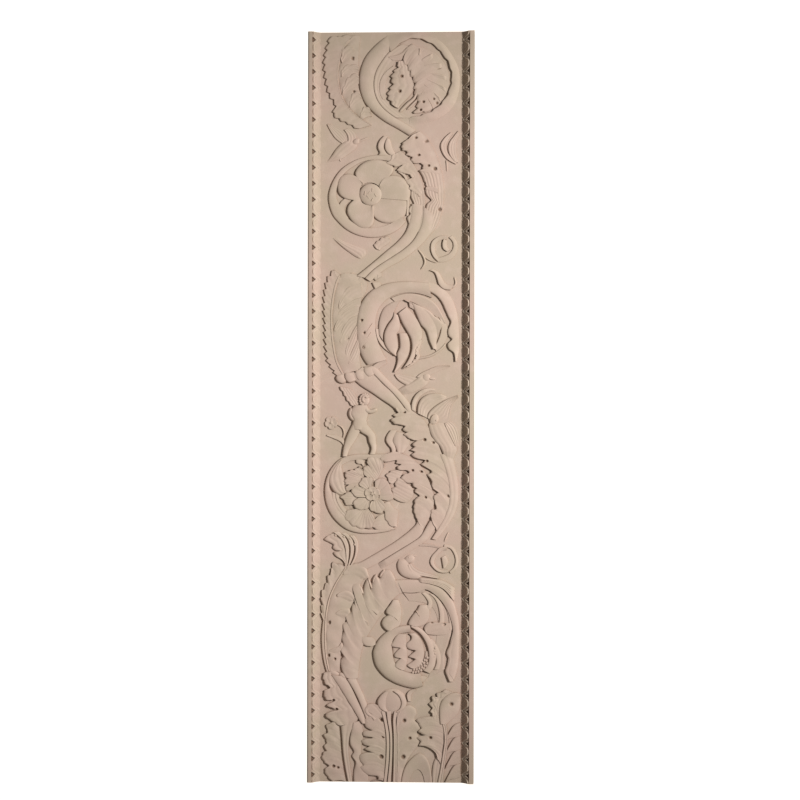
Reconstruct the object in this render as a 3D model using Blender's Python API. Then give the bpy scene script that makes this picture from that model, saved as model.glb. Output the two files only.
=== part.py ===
"""Wall relief: a tall plaster cast of a pilaster panel, with leaf scrolls and birds between two mouldings.

The panel's back lies on the wall, in the plane Y = 0, and its front faces -Y. The origin is the centre of the back.
The front is one surface that rises and falls over the back and never folds over itself, so the body stays closed and
sound at any size.
"""
import math

import bmesh
import bpy
import numpy as np
from mathutils import Vector
from mathutils.bvhtree import BVHTree
from mathutils.geometry import delaunay_2d_cdt

# Driving sizes, in metres
PANEL_WIDTH = 0.532
PANEL_HEIGHT = 2.400
GROUND_DEPTH = 0.035
FRAME_RISE = 0.025
FILLET_WIDTH = 0.014
MOULDING_WIDTH = 0.026
KYMA_PITCH = 0.051
KYMA_RELIEF = 0.005
RELIEF_RISE = 0.0093
DRAPE_SPACING = 0.0032
EDGE_SPACING = 0.015
EDGE_GAP = 0.0015
WELD = 0.0001
FIELD_TRIANGLES = 6400

# The drawing of the carving: its points are shares of the field's width and height, counted in these units
DRAWING_WIDTH = 452.0
DRAWING_HEIGHT = 2400.0
DRAWING_RISE = 16.0
SUNK = 3.0

# The moulding: where its surface is set out across it, and along each repeat of its leaves
MOULDING_STATIONS = (0.0, 0.3, 0.55, 0.8, 1.0)
MOULDING_BEATS = (-0.5, -0.22, 0.22)
FILLET_STRIDE = 6
LEAF_REACH = 0.44
GAP_SHARPNESS = 3.0

field_width = PANEL_WIDTH - 2 * (FILLET_WIDTH + MOULDING_WIDTH)
half_height = PANEL_HEIGHT / 2
scale_x = field_width / DRAWING_WIDTH
scale_z = PANEL_HEIGHT / DRAWING_HEIGHT
scale_rise = RELIEF_RISE / DRAWING_RISE


def place(x, z, rise):
    """A point of the drawing, rise above the ground, in the panel's frame."""
    return Vector((x * scale_x, -GROUND_DEPTH - rise * scale_rise, z * scale_z))


def smooth_line(points, count):
    """`count` rows on a smooth curve through the points, evenly spaced along it."""
    p = np.array(points, float)
    if len(p) == 2:
        t = np.linspace(0, 1, count)[:, None]
        return p[0] * (1 - t) + p[1] * t
    chord = np.linalg.norm(np.diff(p[:, :2], axis=0), axis=1) ** 0.5
    knots = np.concatenate([[0], np.cumsum(np.maximum(chord, 1e-6))])
    step = np.diff(knots)[:, None]
    secant = np.diff(p, axis=0) / step
    slopes = np.zeros_like(p)
    slopes[1:-1] = (secant[:-1] * step[1:] + secant[1:] * step[:-1]) / (step[1:] + step[:-1])
    slopes[0] = 1.5 * secant[0] - 0.5 * slopes[1]
    slopes[-1] = 1.5 * secant[-1] - 0.5 * slopes[-2]
    fine = np.linspace(0, knots[-1], 40 * len(p))
    i = np.clip(np.searchsorted(knots, fine, side="right") - 1, 0, len(p) - 2)
    h = step[i]
    s = ((fine - knots[i]) / h[:, 0])[:, None]
    curve = ((2 * s**3 - 3 * s**2 + 1) * p[i] + (s**3 - 2 * s**2 + s) * h * slopes[i]
             + (3 * s**2 - 2 * s**3) * p[i + 1] + (s**3 - s**2) * h * slopes[i + 1])
    length = np.concatenate([[0], np.cumsum(np.linalg.norm(np.diff(curve[:, :2], axis=0), axis=1))])
    want = np.linspace(0, length[-1], count)
    return np.stack([np.interp(want, length, curve[:, k]) for k in range(p.shape[1])], 1)


def reach(points):
    """The length of a line of points."""
    p = np.array(points, float)[:, :2]
    return float(np.linalg.norm(np.diff(p, axis=0), axis=1).sum())


def normals(line):
    """Unit normals to the left of a line."""
    t = np.gradient(line[:, :2], axis=0)
    t /= np.maximum(np.linalg.norm(t, axis=1), 1e-9)[:, None]
    return np.stack([-t[:, 1], t[:, 0]], 1)


def sheet(bm, x, z, h):
    """A closed shell with the given top surface, and sides down into the ground."""
    rows, cols = x.shape
    x, z, h = (np.pad(a, 1, mode="edge") for a in (x, z, h))
    h[0, :] = h[-1, :] = -SUNK
    h[:, 0] = h[:, -1] = -SUNK
    verts = bmesh.ops.create_grid(bm, x_segments=cols + 1, y_segments=rows + 1, size=1.0)["verts"]
    for v, a, b, c in zip(verts, x.ravel(), z.ravel(), h.ravel()):
        v.co = place(a, b, c)
    edges = {e for v in verts for e in v.link_edges if e.is_boundary}
    bmesh.ops.contextual_create(bm, geom=list(edges))


def stem(bm, path, cols=9, flutes=0, cut=0.0, ends=(1, 1), lift=0.0, step=5.0):
    """A rounded bar along a path of (x, z, half width, crown)."""
    length = reach(path)
    rows = max(8, int(length / step))
    line = smooth_line(path, rows)
    n = normals(line)
    s = np.linspace(0, length, rows)
    width, crown = line[:, 2].copy(), line[:, 3].copy()
    for end, away in zip(ends, (s, length - s)):
        if end:
            near = np.clip(away / max(1e-6, end * width.max() * 0.8), 0, 1)
            close = np.sqrt(np.clip(1 - (1 - near) ** 2, 0, 1))
            width = width * np.maximum(close, 0.05)
            crown = crown * np.maximum(close, 0.15)
    a = np.linspace(-math.pi / 2, math.pi / 2, cols)
    side, up = np.sin(a), np.cos(a)
    x = line[:, 0, None] + n[:, 0, None] * side * width[:, None]
    z = line[:, 1, None] + n[:, 1, None] * side * width[:, None]
    h = lift + crown[:, None] * up
    if flutes:
        groove = 0.5 - 0.5 * np.cos(math.pi * flutes * (side + 1))
        h = h - cut * (1 - groove) * up**0.3 * (np.abs(side) < 0.98)
    sheet(bm, x, z, np.maximum(h, 0.2))


def groove_between(phase, wide):
    """1 along the whole numbers of phase and 0 away from them, in a narrow V."""
    f = phase % 1.0
    return np.exp(-((np.minimum(f, 1 - f) / wide) ** 2))


def flap(bm, left, right, rise=(10, 4), swell=0.0, teeth=0, tooth=6.0, lines=0, cut=0.9, eyes=(), step=3.5,
         cols=14, taper=(0, 0), lip=2.0, folds=0, fold=1.8, veins=0, vein=0.9, bend=0.0):
    """A surface from a raised left edge to its right edge: a stem, a leaf's side or the wall of a bell.

    The left edge may be toothed. lines are shallow grooves along it, veins are grooves across it, folds are waves
    across it, and eyes are drilled at (x, z, radius). bend curves what runs across, along the right edge.
    """
    rows = max(10, int(max(reach(left), reach(right)) / step))
    if teeth:
        rows = max(rows, 9 * teeth)
    a, b = smooth_line(left, rows)[:, :2], smooth_line(right, rows)[:, :2]
    u = np.linspace(0, 1, rows)[:, None]
    w = np.linspace(0, 1, cols)[None, :] ** 1.3
    if teeth:
        f = (teeth * u) % 1.0
        wave = np.where(f < 0.7, (f / 0.7) ** 0.8, (1 - f) / 0.3)
        size = np.minimum(np.linalg.norm(b - a, axis=1)[:, None] * 0.45, tooth)
        out = (a - b) / np.maximum(np.linalg.norm(b - a, axis=1), 1e-6)[:, None]
        a = a + out * size * (wave - 0.5)
    t = np.gradient(b, axis=0)
    t /= np.maximum(np.linalg.norm(t, axis=1), 1e-9)[:, None]
    shift = t * (2 * bend * np.linalg.norm(b - a, axis=1)[:, None])
    x = a[:, 0, None] * (1 - w) + b[:, 0, None] * w + shift[:, 0, None] * w * (1 - w)
    z = a[:, 1, None] * (1 - w) + b[:, 1, None] * w + shift[:, 1, None] * w * (1 - w)
    h = rise[0] * (1 - w) + rise[1] * w + swell * np.sin(math.pi * w) + 0 * x
    h = h - lip * np.clip(1 - w / 0.06, 0, 1)
    if not teeth:
        h = h * (0.45 + 0.55 * np.sqrt(1 - (1 - np.clip(w / 0.22, 0, 1)) ** 2))
    if teeth:
        h = h - 0.8 * groove_between(teeth * u, 0.12) * np.clip(1 - w / 0.5, 0, 1)
    if lines:
        h = h - 1.7 * cut * groove_between(lines * w, 0.2) * (w > 0.05) * (w < 0.97)
    if veins:
        creases = groove_between(veins * (u + 0.03 * np.sin(9 * u)), 0.14)
        h = h - vein * creases * np.clip(w / 0.1, 0, 1) * (w < 0.95)
    if folds or teeth > 5:
        waves = folds or teeth // 3
        h = h + fold * np.cos(2 * math.pi * (waves * u + 0.7 * w)) * (1 - w) ** 0.7
    for ex, ez, radius in eyes:
        drilled = np.exp(-(((x - ex) ** 2 + (z - ez) ** 2) / (0.9 * radius) ** 2) ** 2)
        h = h - 13.0 * drilled
    start, end = taper
    if start:
        h = h * np.clip(u / start, 0.04, 1) ** 0.7
    if end:
        h = h * np.clip((1 - u) / end, 0.04, 1) ** 0.7
    sheet(bm, x, z, np.maximum(h, 0.3))


def petal(bm, root, tip, width, rim, hollow, rows=14, cols=11, lift=0.0, fan=0, cut=1.0, scallop=0.0,
          crease=0.0):
    """A petal from root to tip, dished inside its rim; fan gives it ribs, scallop a lobed end."""
    c, e = np.array(root, float), np.array(tip, float)
    length = np.linalg.norm(e - c)
    t = (e - c) / length
    n = np.array([-t[1], t[0]])
    u = np.linspace(0.0, 1.0, rows)[:, None]
    w = np.linspace(-1, 1, cols)[None, :]
    half = width * np.sqrt(np.clip(1 - (1 - u ** 0.8) ** 2.2, 0.003, 1)) * (0.25 + 0.75 * u ** 0.5)
    end = np.sqrt(np.clip(1 - np.abs(w) ** 2.4, 0, 1)) ** 0.8
    end = 0.45 + 0.55 * end
    if scallop:
        end = end - scallop * (1 - np.abs(np.cos(math.pi * fan * (w + 1) / 2 + math.pi * (fan % 2) / 2)))
    along = u * length * (1 - u + u * end)
    x = c[0] + t[0] * along + n[0] * w * half
    z = c[1] + t[1] * along + n[1] * w * half
    h = lift + rim - hollow * (1 - w**2) * np.sin(math.pi * u ** 0.8) + 0 * x
    h = h - crease * np.exp(-((w / 0.12) ** 2)) * np.sin(math.pi * u)
    if fan:
        h = h - cut * groove_between(fan * (w + 1) / 2, 0.2) * np.clip(u * 1.3, 0, 1) * (np.abs(w) < 0.97)
    h = h - 2.0 * np.abs(w) ** 10 - 2.0 * np.clip((u - 0.85) / 0.15, 0, 1) ** 2
    sheet(bm, x, z, np.maximum(h, 0.3))


def blob(bm, x, z, length, width, angle=0.0, rise=8.0, lift=0.0, segments=16, rings=11):
    """A rounded body, long along angle in degrees from +X."""
    made = bmesh.ops.create_uvsphere(bm, u_segments=segments, v_segments=rings, radius=1.0)
    ca, sa = math.cos(math.radians(angle)), math.sin(math.radians(angle))
    for v in made["verts"]:
        along, up, side = v.co.z * length / 2, v.co.y * rise, v.co.x * width / 2
        v.co = place(x + along * ca - side * sa, z + along * sa + side * ca, lift - up)


def blade(bm, root, tip, width, height, rows=10, cols=7, curl=0.0):
    """One feather or narrow leaf: a low ridge with a round end, curling to its left by a share of its length."""
    c, e = np.array(root[:2], float), np.array(tip[:2], float)
    length = max(np.linalg.norm(e - c), 1.0)
    t = (e - c) / length
    n = np.array([-t[1], t[0]])
    u = np.linspace(0, 1, rows)[:, None]
    w = np.linspace(-1, 1, cols)[None, :]
    half = width / 2 * np.sqrt(np.clip(1 - np.clip((u - 0.6) / 0.4, 0, 1) ** 2, 0.02, 1)) * (0.6 + 0.4 * u)
    aside = w * half + curl * length * 4 * u * (1 - u)
    x = c[0] + t[0] * u * length + n[0] * aside
    z = c[1] + t[1] * u * length + n[1] * aside
    h = height * (1 - 0.5 * u**2) - height * 0.35 * np.abs(w) ** 1.5
    sheet(bm, x, z, np.maximum(h, 0.3))


def feathers(bm, roots, tips, count, width, height=5.0, fall=0.0, step=0.4, curl=0.0):
    """A row of overlapping feathers, from points on one line to points on another."""
    a, b = smooth_line(roots, count), smooth_line(tips, count)
    for i in range(count):
        lift = height - fall * i / max(1, count - 1) + step * (i % 2)
        blade(bm, a[i], b[i], width, lift, curl=curl)


def base(bm):
    # left acanthus
    rib = [(-136, -1199), (-146, -1150), (-153, -1100), (-156, -1060), (-160, -1022)]
    flap(bm,
         [(-186, -1199), (-206, -1176), (-211, -1161), (-198, -1149), (-212, -1136), (-219, -1122),
          (-213, -1104), (-206, -1104), (-212, -1082), (-204, -1076), (-213, -1048), (-200, -1042),
          (-206, -1020), (-178, -1008)],
         [(-142, -1199), (-150, -1160), (-157, -1110), (-160, -1070), (-164, -1024)], rise=(11, 8),
         swell=2, cols=24, teeth=12, tooth=3, folds=4, fold=1.4, veins=8, vein=0.6, bend=0.25,
         eyes=((-182, -1150, 5), (-168, -1154, 4)))
    flap(bm, rib, [(-122, -1199), (-128, -1150), (-134, -1100), (-130, -1050), (-112, -1006)],
         rise=(13, 9), lines=2)
    flap(bm,
         [(-118, -1199), (-118, -1164), (-112, -1136), (-124, -1116), (-118, -1104), (-130, -1078),
          (-128, -1044), (-120, -1010)],
         [(-70, -1199), (-74, -1160), (-90, -1128), (-94, -1108), (-92, -1080), (-88, -1058),
          (-88, -1034), (-96, -1004)], rise=(11, 6), swell=2, cols=20, folds=3, fold=1.5, veins=5,
         vein=0.5, eyes=((-133, -1118, 8),))
    # centre acanthus: two halves whose veins rise from the foot and turn out to the lobes
    flap(bm,
         [(-24, -966), (-48, -950), (-62, -948), (-80, -956), (-82, -972), (-66, -982), (-84, -1000),
          (-80, -1024), (-62, -1036), (-90, -1040), (-88, -1052), (-58, -1058), (-96, -1068),
          (-84, -1082), (-70, -1086), (-84, -1094), (-54, -1108), (-78, -1106), (-100, -1114),
          (-99, -1132), (-88, -1146), (-99, -1154), (-72, -1178), (-42, -1182), (-40, -1190),
          (-66, -1199)],
         [(-20, -984), (-17, -1010), (-15, -1040), (-14, -1070), (-14, -1100), (-14, -1130), (-14, -1160),
          (-14, -1180), (-14, -1199)], rise=(14, 9), swell=2, cols=28, step=2.2, folds=5, fold=1.6,
         veins=10, vein=0.8, bend=-0.3, eyes=((-28, -1000, 6), (-29, -1118, 7), (-24, -1056, 3)))
    flap(bm, [(-78, -958), (-84, -968), (-76, -984), (-62, -992), (-54, -1002)],
         [(-62, -962), (-66, -970), (-62, -980), (-52, -986), (-44, -996)], rise=(16, 12), swell=2)
    flap(bm,
         [(28, -966), (44, -956), (62, -952), (78, -962), (84, -978), (78, -998), (90, -1010),
          (98, -1028), (86, -1040), (96, -1060), (92, -1076), (84, -1090), (70, -1108), (56, -1128),
          (46, -1150), (38, -1176), (34, -1199)],
         [(22, -984), (20, -1010), (19, -1040), (18, -1070), (18, -1100), (18, -1130), (18, -1160),
          (18, -1180), (18, -1199)], rise=(9, 14), swell=2, cols=26, step=2.5, folds=5, fold=1.6, veins=9,
         vein=0.8, bend=-0.35, eyes=((44, -1002, 6), (41, -1118, 7), (62, -1058, 5), (50, -1180, 4)))
    for near, far in (((-22, -14), (-12, -4)), ((-10, -2), (2, 6)), ((8, 10), (18, 20)),
                      ((20, 22), (32, 34))):
        flap(bm,
             [(near[0], -1199), (near[1], -1120), (near[1], -1050), (near[0], -1000),
              (1.4 * near[0], -972)],
             [(far[0], -1199), (far[1], -1120), (far[1], -1050), (far[0], -1000), (1.4 * far[0], -972)],
             rise=(16, 12))
    # the arch between the centre and right leaves
    flap(bm,
         [(34, -1199), (46, -1152), (68, -1122), (94, -1106), (116, -1122), (128, -1152), (134, -1199)],
         [(60, -1199), (66, -1180), (76, -1164), (88, -1158), (98, -1164), (106, -1180), (110, -1199)],
         rise=(9, 4), cols=12)
    # right acanthus
    flap(bm,
         [(150, -1122), (146, -1106), (130, -1092), (110, -1083), (90, -1080), (98, -1070), (86, -1056),
          (112, -1050), (90, -1036), (98, -1026), (92, -1014), (84, -1000), (110, -996)],
         [(160, -1140), (164, -1120), (166, -1100), (168, -1086), (170, -1072), (170, -1060),
          (170, -1048), (170, -1036), (168, -1024), (166, -1016), (164, -1008), (160, -1000),
          (156, -992)], rise=(15, 10), swell=1, cols=26, step=2.3, teeth=12, tooth=3, folds=3, fold=1.4,
         veins=8, vein=0.7, bend=0.3, eyes=((128, -1056, 5), (126, -1100, 5)))
    flap(bm,
         [(110, -1004), (134, -1009), (124, -997), (136, -986), (128, -972), (134, -964), (125, -946),
          (135, -936), (132, -922), (148, -930), (150, -914), (168, -908), (176, -900)],
         [(160, -1010), (158, -996), (156, -984), (156, -972), (156, -962), (158, -952), (161, -942),
          (166, -934), (172, -928), (178, -922), (186, -917), (194, -914), (202, -912)], rise=(14, 9),
         lines=3, cut=0.9, cols=20, step=2.3, teeth=9, tooth=4)
    flap(bm, [(158, -1010), (155, -980), (157, -952), (167, -932), (186, -916), (206, -911), (222, -914)],
         [(178, -1014), (192, -1000), (206, -988), (216, -976), (222, -960), (224, -944), (224, -926)],
         rise=(16, 7), swell=4, cols=20, eyes=((195, -948, 6),))
    flap(bm, [(150, -1199), (160, -1150), (166, -1110), (172, -1064), (168, -1024), (160, -1000)],
         [(168, -1199), (174, -1150), (180, -1110), (184, -1064), (182, -1030), (178, -1008)],
         rise=(13, 12), lines=2, cut=1.5)
    for top, bottom in ((-1010, -1050), (-1052, -1094), (-1096, -1138), (-1140, -1182)):
        flap(bm, [(176, bottom - 14), (186, bottom + 8), (202, top - 6), (222, top + 4)],
             [(176, bottom - 17), (190, bottom - 8), (206, bottom - 4), (224, bottom + 2)], rise=(12, 6),
             swell=2, lines=3, cut=0.9, cols=16)
    flap(bm, [(134, -1199), (134, -1160), (140, -1130), (152, -1112)],
         [(152, -1199), (158, -1160), (162, -1130), (166, -1104)], rise=(8, 6), lines=2)
    # the bud that stands on the centre leaf
    blob(bm, 6, -942, 84, 92, 90, rise=15, segments=24, rings=13)
    flap(bm, [(-16, -908), (-34, -924), (-43, -942), (-38, -960), (-22, -972)],
         [(-2, -908), (-12, -924), (-14, -942), (-14, -960), (-6, -974)], rise=(15, 13), swell=3)
    flap(bm, [(8, -908), (26, -924), (34, -944), (30, -962), (16, -974)],
         [(24, -908), (44, -922), (52, -942), (46, -962), (28, -976)], rise=(17, 10), swell=3)
    flap(bm, [(76, -900), (60, -906), (52, -918), (56, -940)],
         [(84, -904), (72, -912), (66, -922), (66, -940)], rise=(13, 7))
    # the drooping leaf and the twin stalks
    flap(bm,
         [(-200, -846), (-214, -853), (-216, -866), (-208, -886), (-192, -898), (-212, -908),
          (-212, -920), (-206, -936), (-180, -940), (-204, -954), (-190, -962), (-172, -969),
          (-196, -976), (-208, -986), (-196, -999), (-176, -1011), (-163, -1020)],
         [(-176, -846), (-176, -860), (-172, -874), (-166, -886), (-158, -898), (-152, -908),
          (-146, -918), (-140, -928), (-134, -938), (-128, -948), (-122, -958), (-116, -968),
          (-110, -978), (-106, -986), (-104, -994), (-106, -1002), (-120, -1012)], rise=(15, 9), swell=1,
         lines=3, cut=0.8, cols=24, step=2.3, teeth=16, tooth=3, eyes=((-182, -938, 4), (-172, -967, 4)))
    flap(bm,
         [(-194, -856), (-180, -876), (-160, -906), (-140, -938), (-118, -972), (-100, -1002),
          (-92, -1012)],
         [(-150, -862), (-138, -876), (-122, -904), (-106, -938), (-92, -968), (-82, -994), (-80, -1012)],
         rise=(13, 10), swell=4, cols=14)
    flap(bm, [(-142, -870), (-124, -898), (-106, -932), (-92, -966), (-82, -992), (-76, -1012)],
         [(-112, -866), (-98, -896), (-82, -932), (-70, -964), (-64, -986), (-66, -1002)], rise=(13, 6),
         swell=4, cols=14)
    for x, z, long, wide, turn in ((-182, -852, 40, 22, 160), (-152, -862, 34, 22, 150),
                                   (-122, -864, 34, 22, 20)):
        blob(bm, x, z, long, wide, turn, rise=13)
    # small curls beside the bud
    stem(bm,
         [(-62, -950, 2, 8), (-74, -954, 3, 11), (-78, -966, 3, 11), (-70, -978, 3, 11),
          (-60, -990, 2, 8)], cols=5)


def scroll_five(bm):
    # the great outer leaf at the left
    rib = [(-196, -850), (-206, -800), (-210, -740), (-209, -690), (-203, -640), (-192, -600),
           (-176, -566), (-158, -536), (-142, -512)]
    flap(bm, [(-205, -848), (-214, -815), (-220, -775), (-222, -735), (-219, -700), (-216, -676)],
         [(-192, -850), (-200, -815), (-204, -775), (-205, -735), (-204, -700), (-202, -676)],
         rise=(10, 8))
    flap(bm,
         [(-216, -680), (-222, -655), (-220, -630), (-222, -604), (-214, -580), (-204, -562),
          (-200, -542), (-190, -526), (-186, -500), (-150, -508)], rib[3:], rise=(11, 9), teeth=9,
         tooth=8, lines=1, step=2.5)
    stem(bm, [(x, z, 4.0, 12) for x, z in rib], cols=7)
    # its inner side, in veined lobes with drilled eyes
    flap(bm, rib,
         [(-164, -850), (-160, -800), (-158, -750), (-150, -700), (-134, -655), (-114, -612), (-98, -570),
          (-84, -540), (-90, -512)], rise=(10, 7), swell=2, folds=6, fold=1.6, veins=11, vein=0.5,
         bend=0.3, cols=22, eyes=((-196, -690, 5), (-198, -795, 5), (-170, -604, 4), (-178, -806, 4)))
    lobes = (((-158, -538), (-138, -512), (-108, -499), (-84, -506), (-68, -546), (-84, -552),
              (-120, -544)),
             ((-176, -606), (-164, -592), (-140, -585), (-116, -600), (-110, -618), (-124, -624),
              (-152, -618)),
             ((-178, -662), (-166, -650), (-150, -643), (-132, -645), (-128, -662), (-142, -674),
              (-164, -674)),
             ((-200, -782), (-186, -772), (-166, -764), (-156, -752), (-150, -770), (-160, -786),
              (-184, -790)))
    for root, low, bend, tip, turn, back, hollow in lobes:
        flap(bm, [root, low, bend, tip, turn], [root, hollow, back], rise=(12, 8), swell=2.5, lines=2,
             cut=0.7, cols=16, taper=(0.1, 0.12))
    # the toothed sheath of the stem, which ends in curled fingers
    flap(bm,
         [(-146, -864), (-158, -838), (-161, -812), (-152, -796), (-162, -776), (-154, -760),
          (-158, -736), (-152, -716), (-154, -694), (-140, -684), (-146, -664), (-128, -654),
          (-124, -634), (-112, -622), (-118, -604), (-106, -596), (-124, -568), (-100, -564), (-92, -598),
          (-84, -566), (-74, -550), (-66, -582), (-60, -560), (-48, -536), (-36, -548), (-22, -522),
          (-4, -520), (14, -546)],
         [(-104, -868), (-102, -838), (-98, -806), (-92, -776), (-82, -748), (-70, -724), (-56, -702),
          (-42, -680), (-28, -662), (-14, -644), (0, -624), (14, -608), (32, -594)], rise=(13, 8),
         swell=5, folds=7, fold=1.3, veins=10, vein=0.5, bend=-0.15, cols=26, step=2.5)
    for fold in ([(-98, -572, 4, 13), (-94, -586, 6, 15), (-86, -600, 4, 13)],
                 [(-72, -546, 3, 13), (-66, -566, 5, 15), (-58, -584, 4, 13)],
                 [(-44, -534, 4, 13), (-54, -550, 5, 14), (-56, -566, 3, 12)],
                 [(-18, -520, 4, 12), (-30, -534, 5, 14), (-34, -546, 3, 12)]):
        stem(bm, fold, cols=7)
    flap(bm, [(-24, -560), (-6, -554), (30, -552), (70, -552), (110, -556)],
         [(10, -606), (30, -596), (56, -590), (84, -592), (110, -590)], rise=(11, 7), swell=3)
    flap(bm, [(-112, -678), (-104, -672), (-90, -676), (-74, -684)],
         [(-106, -690), (-98, -690), (-86, -694), (-70, -700)], rise=(15, 11))
    flap(bm, [(-64, -648), (-54, -656), (-44, -664)], [(-54, -640), (-44, -646), (-34, -656)],
         rise=(16, 12))
    # the bell that the stem opens into, with its waved lip
    flap(bm,
         [(20, -552), (70, -550), (120, -556), (160, -572), (190, -602), (208, -640), (216, -680),
          (219, -720), (219, -770), (216, -820), (204, -872)],
         [(40, -592), (80, -592), (112, -582), (142, -598), (164, -620), (182, -648), (194, -680),
          (200, -712), (192, -750), (186, -800), (180, -838)], rise=(9, 12), swell=4, cols=18)
    flap(bm,
         [(196, -664), (202, -694), (203, -720), (194, -742), (186, -764), (178, -784), (184, -804),
          (180, -824), (174, -842), (180, -860), (188, -876)],
         [(216, -664), (219, -694), (221, -722), (221, -752), (220, -780), (219, -800), (217, -820),
          (214, -838), (209, -856), (200, -876)], rise=(15, 7), swell=2, step=2.5)
    flap(bm,
         [(40, -592), (80, -594), (112, -586), (146, -604), (168, -628), (186, -660), (196, -696),
          (194, -724), (184, -756), (174, -790), (174, -836)],
         [(60, -620), (90, -622), (116, -628), (134, -640), (146, -660), (152, -690), (150, -716),
          (146, -746), (144, -780), (140, -806), (120, -866)], rise=(6, 1.5), cols=18)
    # narrow leaves inside the bell
    for edge, back in (([(98, -594), (112, -610), (120, -626), (112, -640), (104, -636)],
                        [(110, -592), (126, -606), (134, -624), (130, -642), (122, -650)]),
                       ([(122, -596), (140, -612), (152, -640), (156, -672), (150, -708)],
                        [(138, -598), (160, -620), (170, -648), (172, -680), (168, -716)]),
                       ([(150, -606), (172, -636), (184, -668), (188, -712)],
                        [(166, -612), (186, -640), (196, -672),
                                                                              (198, -708)])):
        flap(bm, edge, back, rise=(9, 5), swell=1.5)
    flap(bm, [(156, -688), (130, -686), (116, -691), (106, -706), (112, -718)],
         [(200, -690), (196, -712), (180, -724), (150, -728), (120, -726)], rise=(12, 7), swell=2,
         lines=3, cut=0.9, cols=18, eyes=((172, -694, 4), (132, -687, 4)))
    # the fruit: a broad smooth hull, two toothed flaps of rind and the seeds between
    flap(bm,
         [(62, -696), (30, -700), (4, -708), (-18, -722), (-38, -742), (-50, -762), (-57, -784),
          (-55, -806), (-48, -828), (-34, -848), (-14, -867), (12, -882), (42, -893), (76, -899),
          (104, -892)],
         [(66, -718), (40, -722), (22, -728), (12, -738), (6, -750), (4, -764), (6, -780), (8, -796),
          (12, -812), (18, -824), (28, -834), (40, -842), (56, -848), (76, -852), (96, -850)],
         rise=(13, 11), swell=6, cols=24, step=3)
    flap(bm,
         [(18, -722), (8, -748), (6, -780), (8, -810), (20, -832), (48, -848), (90, -848), (120, -836),
          (140, -806), (144, -780)],
         [(60, -724), (64, -748), (66, -780), (66, -804), (70, -816), (76, -822), (88, -824), (100, -818),
          (110, -800), (112, -780)], rise=(7, 5), cols=14)
    flap(bm,
         [(24, -724), (14, -735), (6, -749), (-1, -763), (14, -768), (30, -768), (20, -778), (10, -792),
          (12, -799), (32, -801), (20, -812), (12, -827), (26, -836)],
         [(50, -726), (50, -740), (52, -752), (52, -764), (52, -776), (53, -786), (53, -796), (53, -806),
          (52, -816), (50, -824), (48, -834), (46, -838), (44, -842)], rise=(15, 10), swell=3, cols=16,
         step=2.2)
    flap(bm,
         [(56, -724), (66, -734), (63, -745), (50, -755), (48, -765), (60, -775), (78, -778), (66, -788),
          (56, -798), (78, -804), (62, -817), (52, -825), (64, -833)],
         [(78, -722), (90, -732), (98, -744), (103, -756), (106, -768), (107, -780), (107, -792),
          (105, -804), (102, -814), (98, -822), (92, -828), (86, -832), (78, -836)], rise=(15, 10),
         swell=3, cols=16, step=2.2)
    flap(bm, [(62, -702), (92, -722), (108, -744), (118, -768), (122, -796), (118, -822), (104, -840)],
         [(76, -696), (108, -716), (130, -744), (142, -772), (146, -798), (140, -828), (126, -850)],
         rise=(14, 8), swell=3)
    flap(bm, [(116, -744), (132, -766), (142, -790), (146, -816), (138, -838)],
         [(132, -740), (150, -764), (160, -790), (162, -816), (156, -838)], rise=(9, 4), swell=2)
    for i in range(9):
        for j in range(4):
            x, z = 72 + 8.5 * i + 3 * (j % 2), -848 + 9 * j + 0.045 * (8.5 * i) ** 2 / 4
            blob(bm, x, z, 10, 8, 70, rise=5, lift=8, segments=8, rings=6)
    flap(bm, [(54, -858), (66, -870), (84, -879), (104, -880)],
         [(64, -852), (82, -856), (100, -858), (118, -862)], rise=(12, 7), swell=2)
    # the pods above the fruit
    flap(bm, [(6, -616), (-3, -632), (-14, -646), (-16, -658), (-4, -666), (12, -669)],
         [(24, -616), (31, -632), (34, -648), (34, -662), (32, -674), (28, -686)], rise=(15, 8), swell=4,
         cols=16)
    flap(bm, [(-6, -664), (-22, -674), (-30, -690), (-26, -702), (-14, -714), (-4, -716)],
         [(32, -668), (34, -680), (32, -690), (28, -698), (20, -706), (10, -712)], rise=(14, 8), swell=4,
         cols=16)
    flap(bm, [(92, -632), (82, -650), (72, -662), (60, -680), (56, -694), (72, -700)],
         [(118, -632), (124, -650), (124, -668), (118, -684), (108, -694), (90, -702)], rise=(14, 7),
         swell=4, cols=16)
    stem(bm, [(80, -648, 1.5, 17), (88, -660, 2.5, 18), (96, -672, 1.5, 16)], cols=5)
    # the small leaf at the fruit's left
    flap(bm, [(-98, -734), (-96, -748), (-84, -763), (-62, -766)],
         [(-60, -736), (-52, -742), (-48, -750), (-48, -760)], rise=(11, 7), swell=2)


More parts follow.
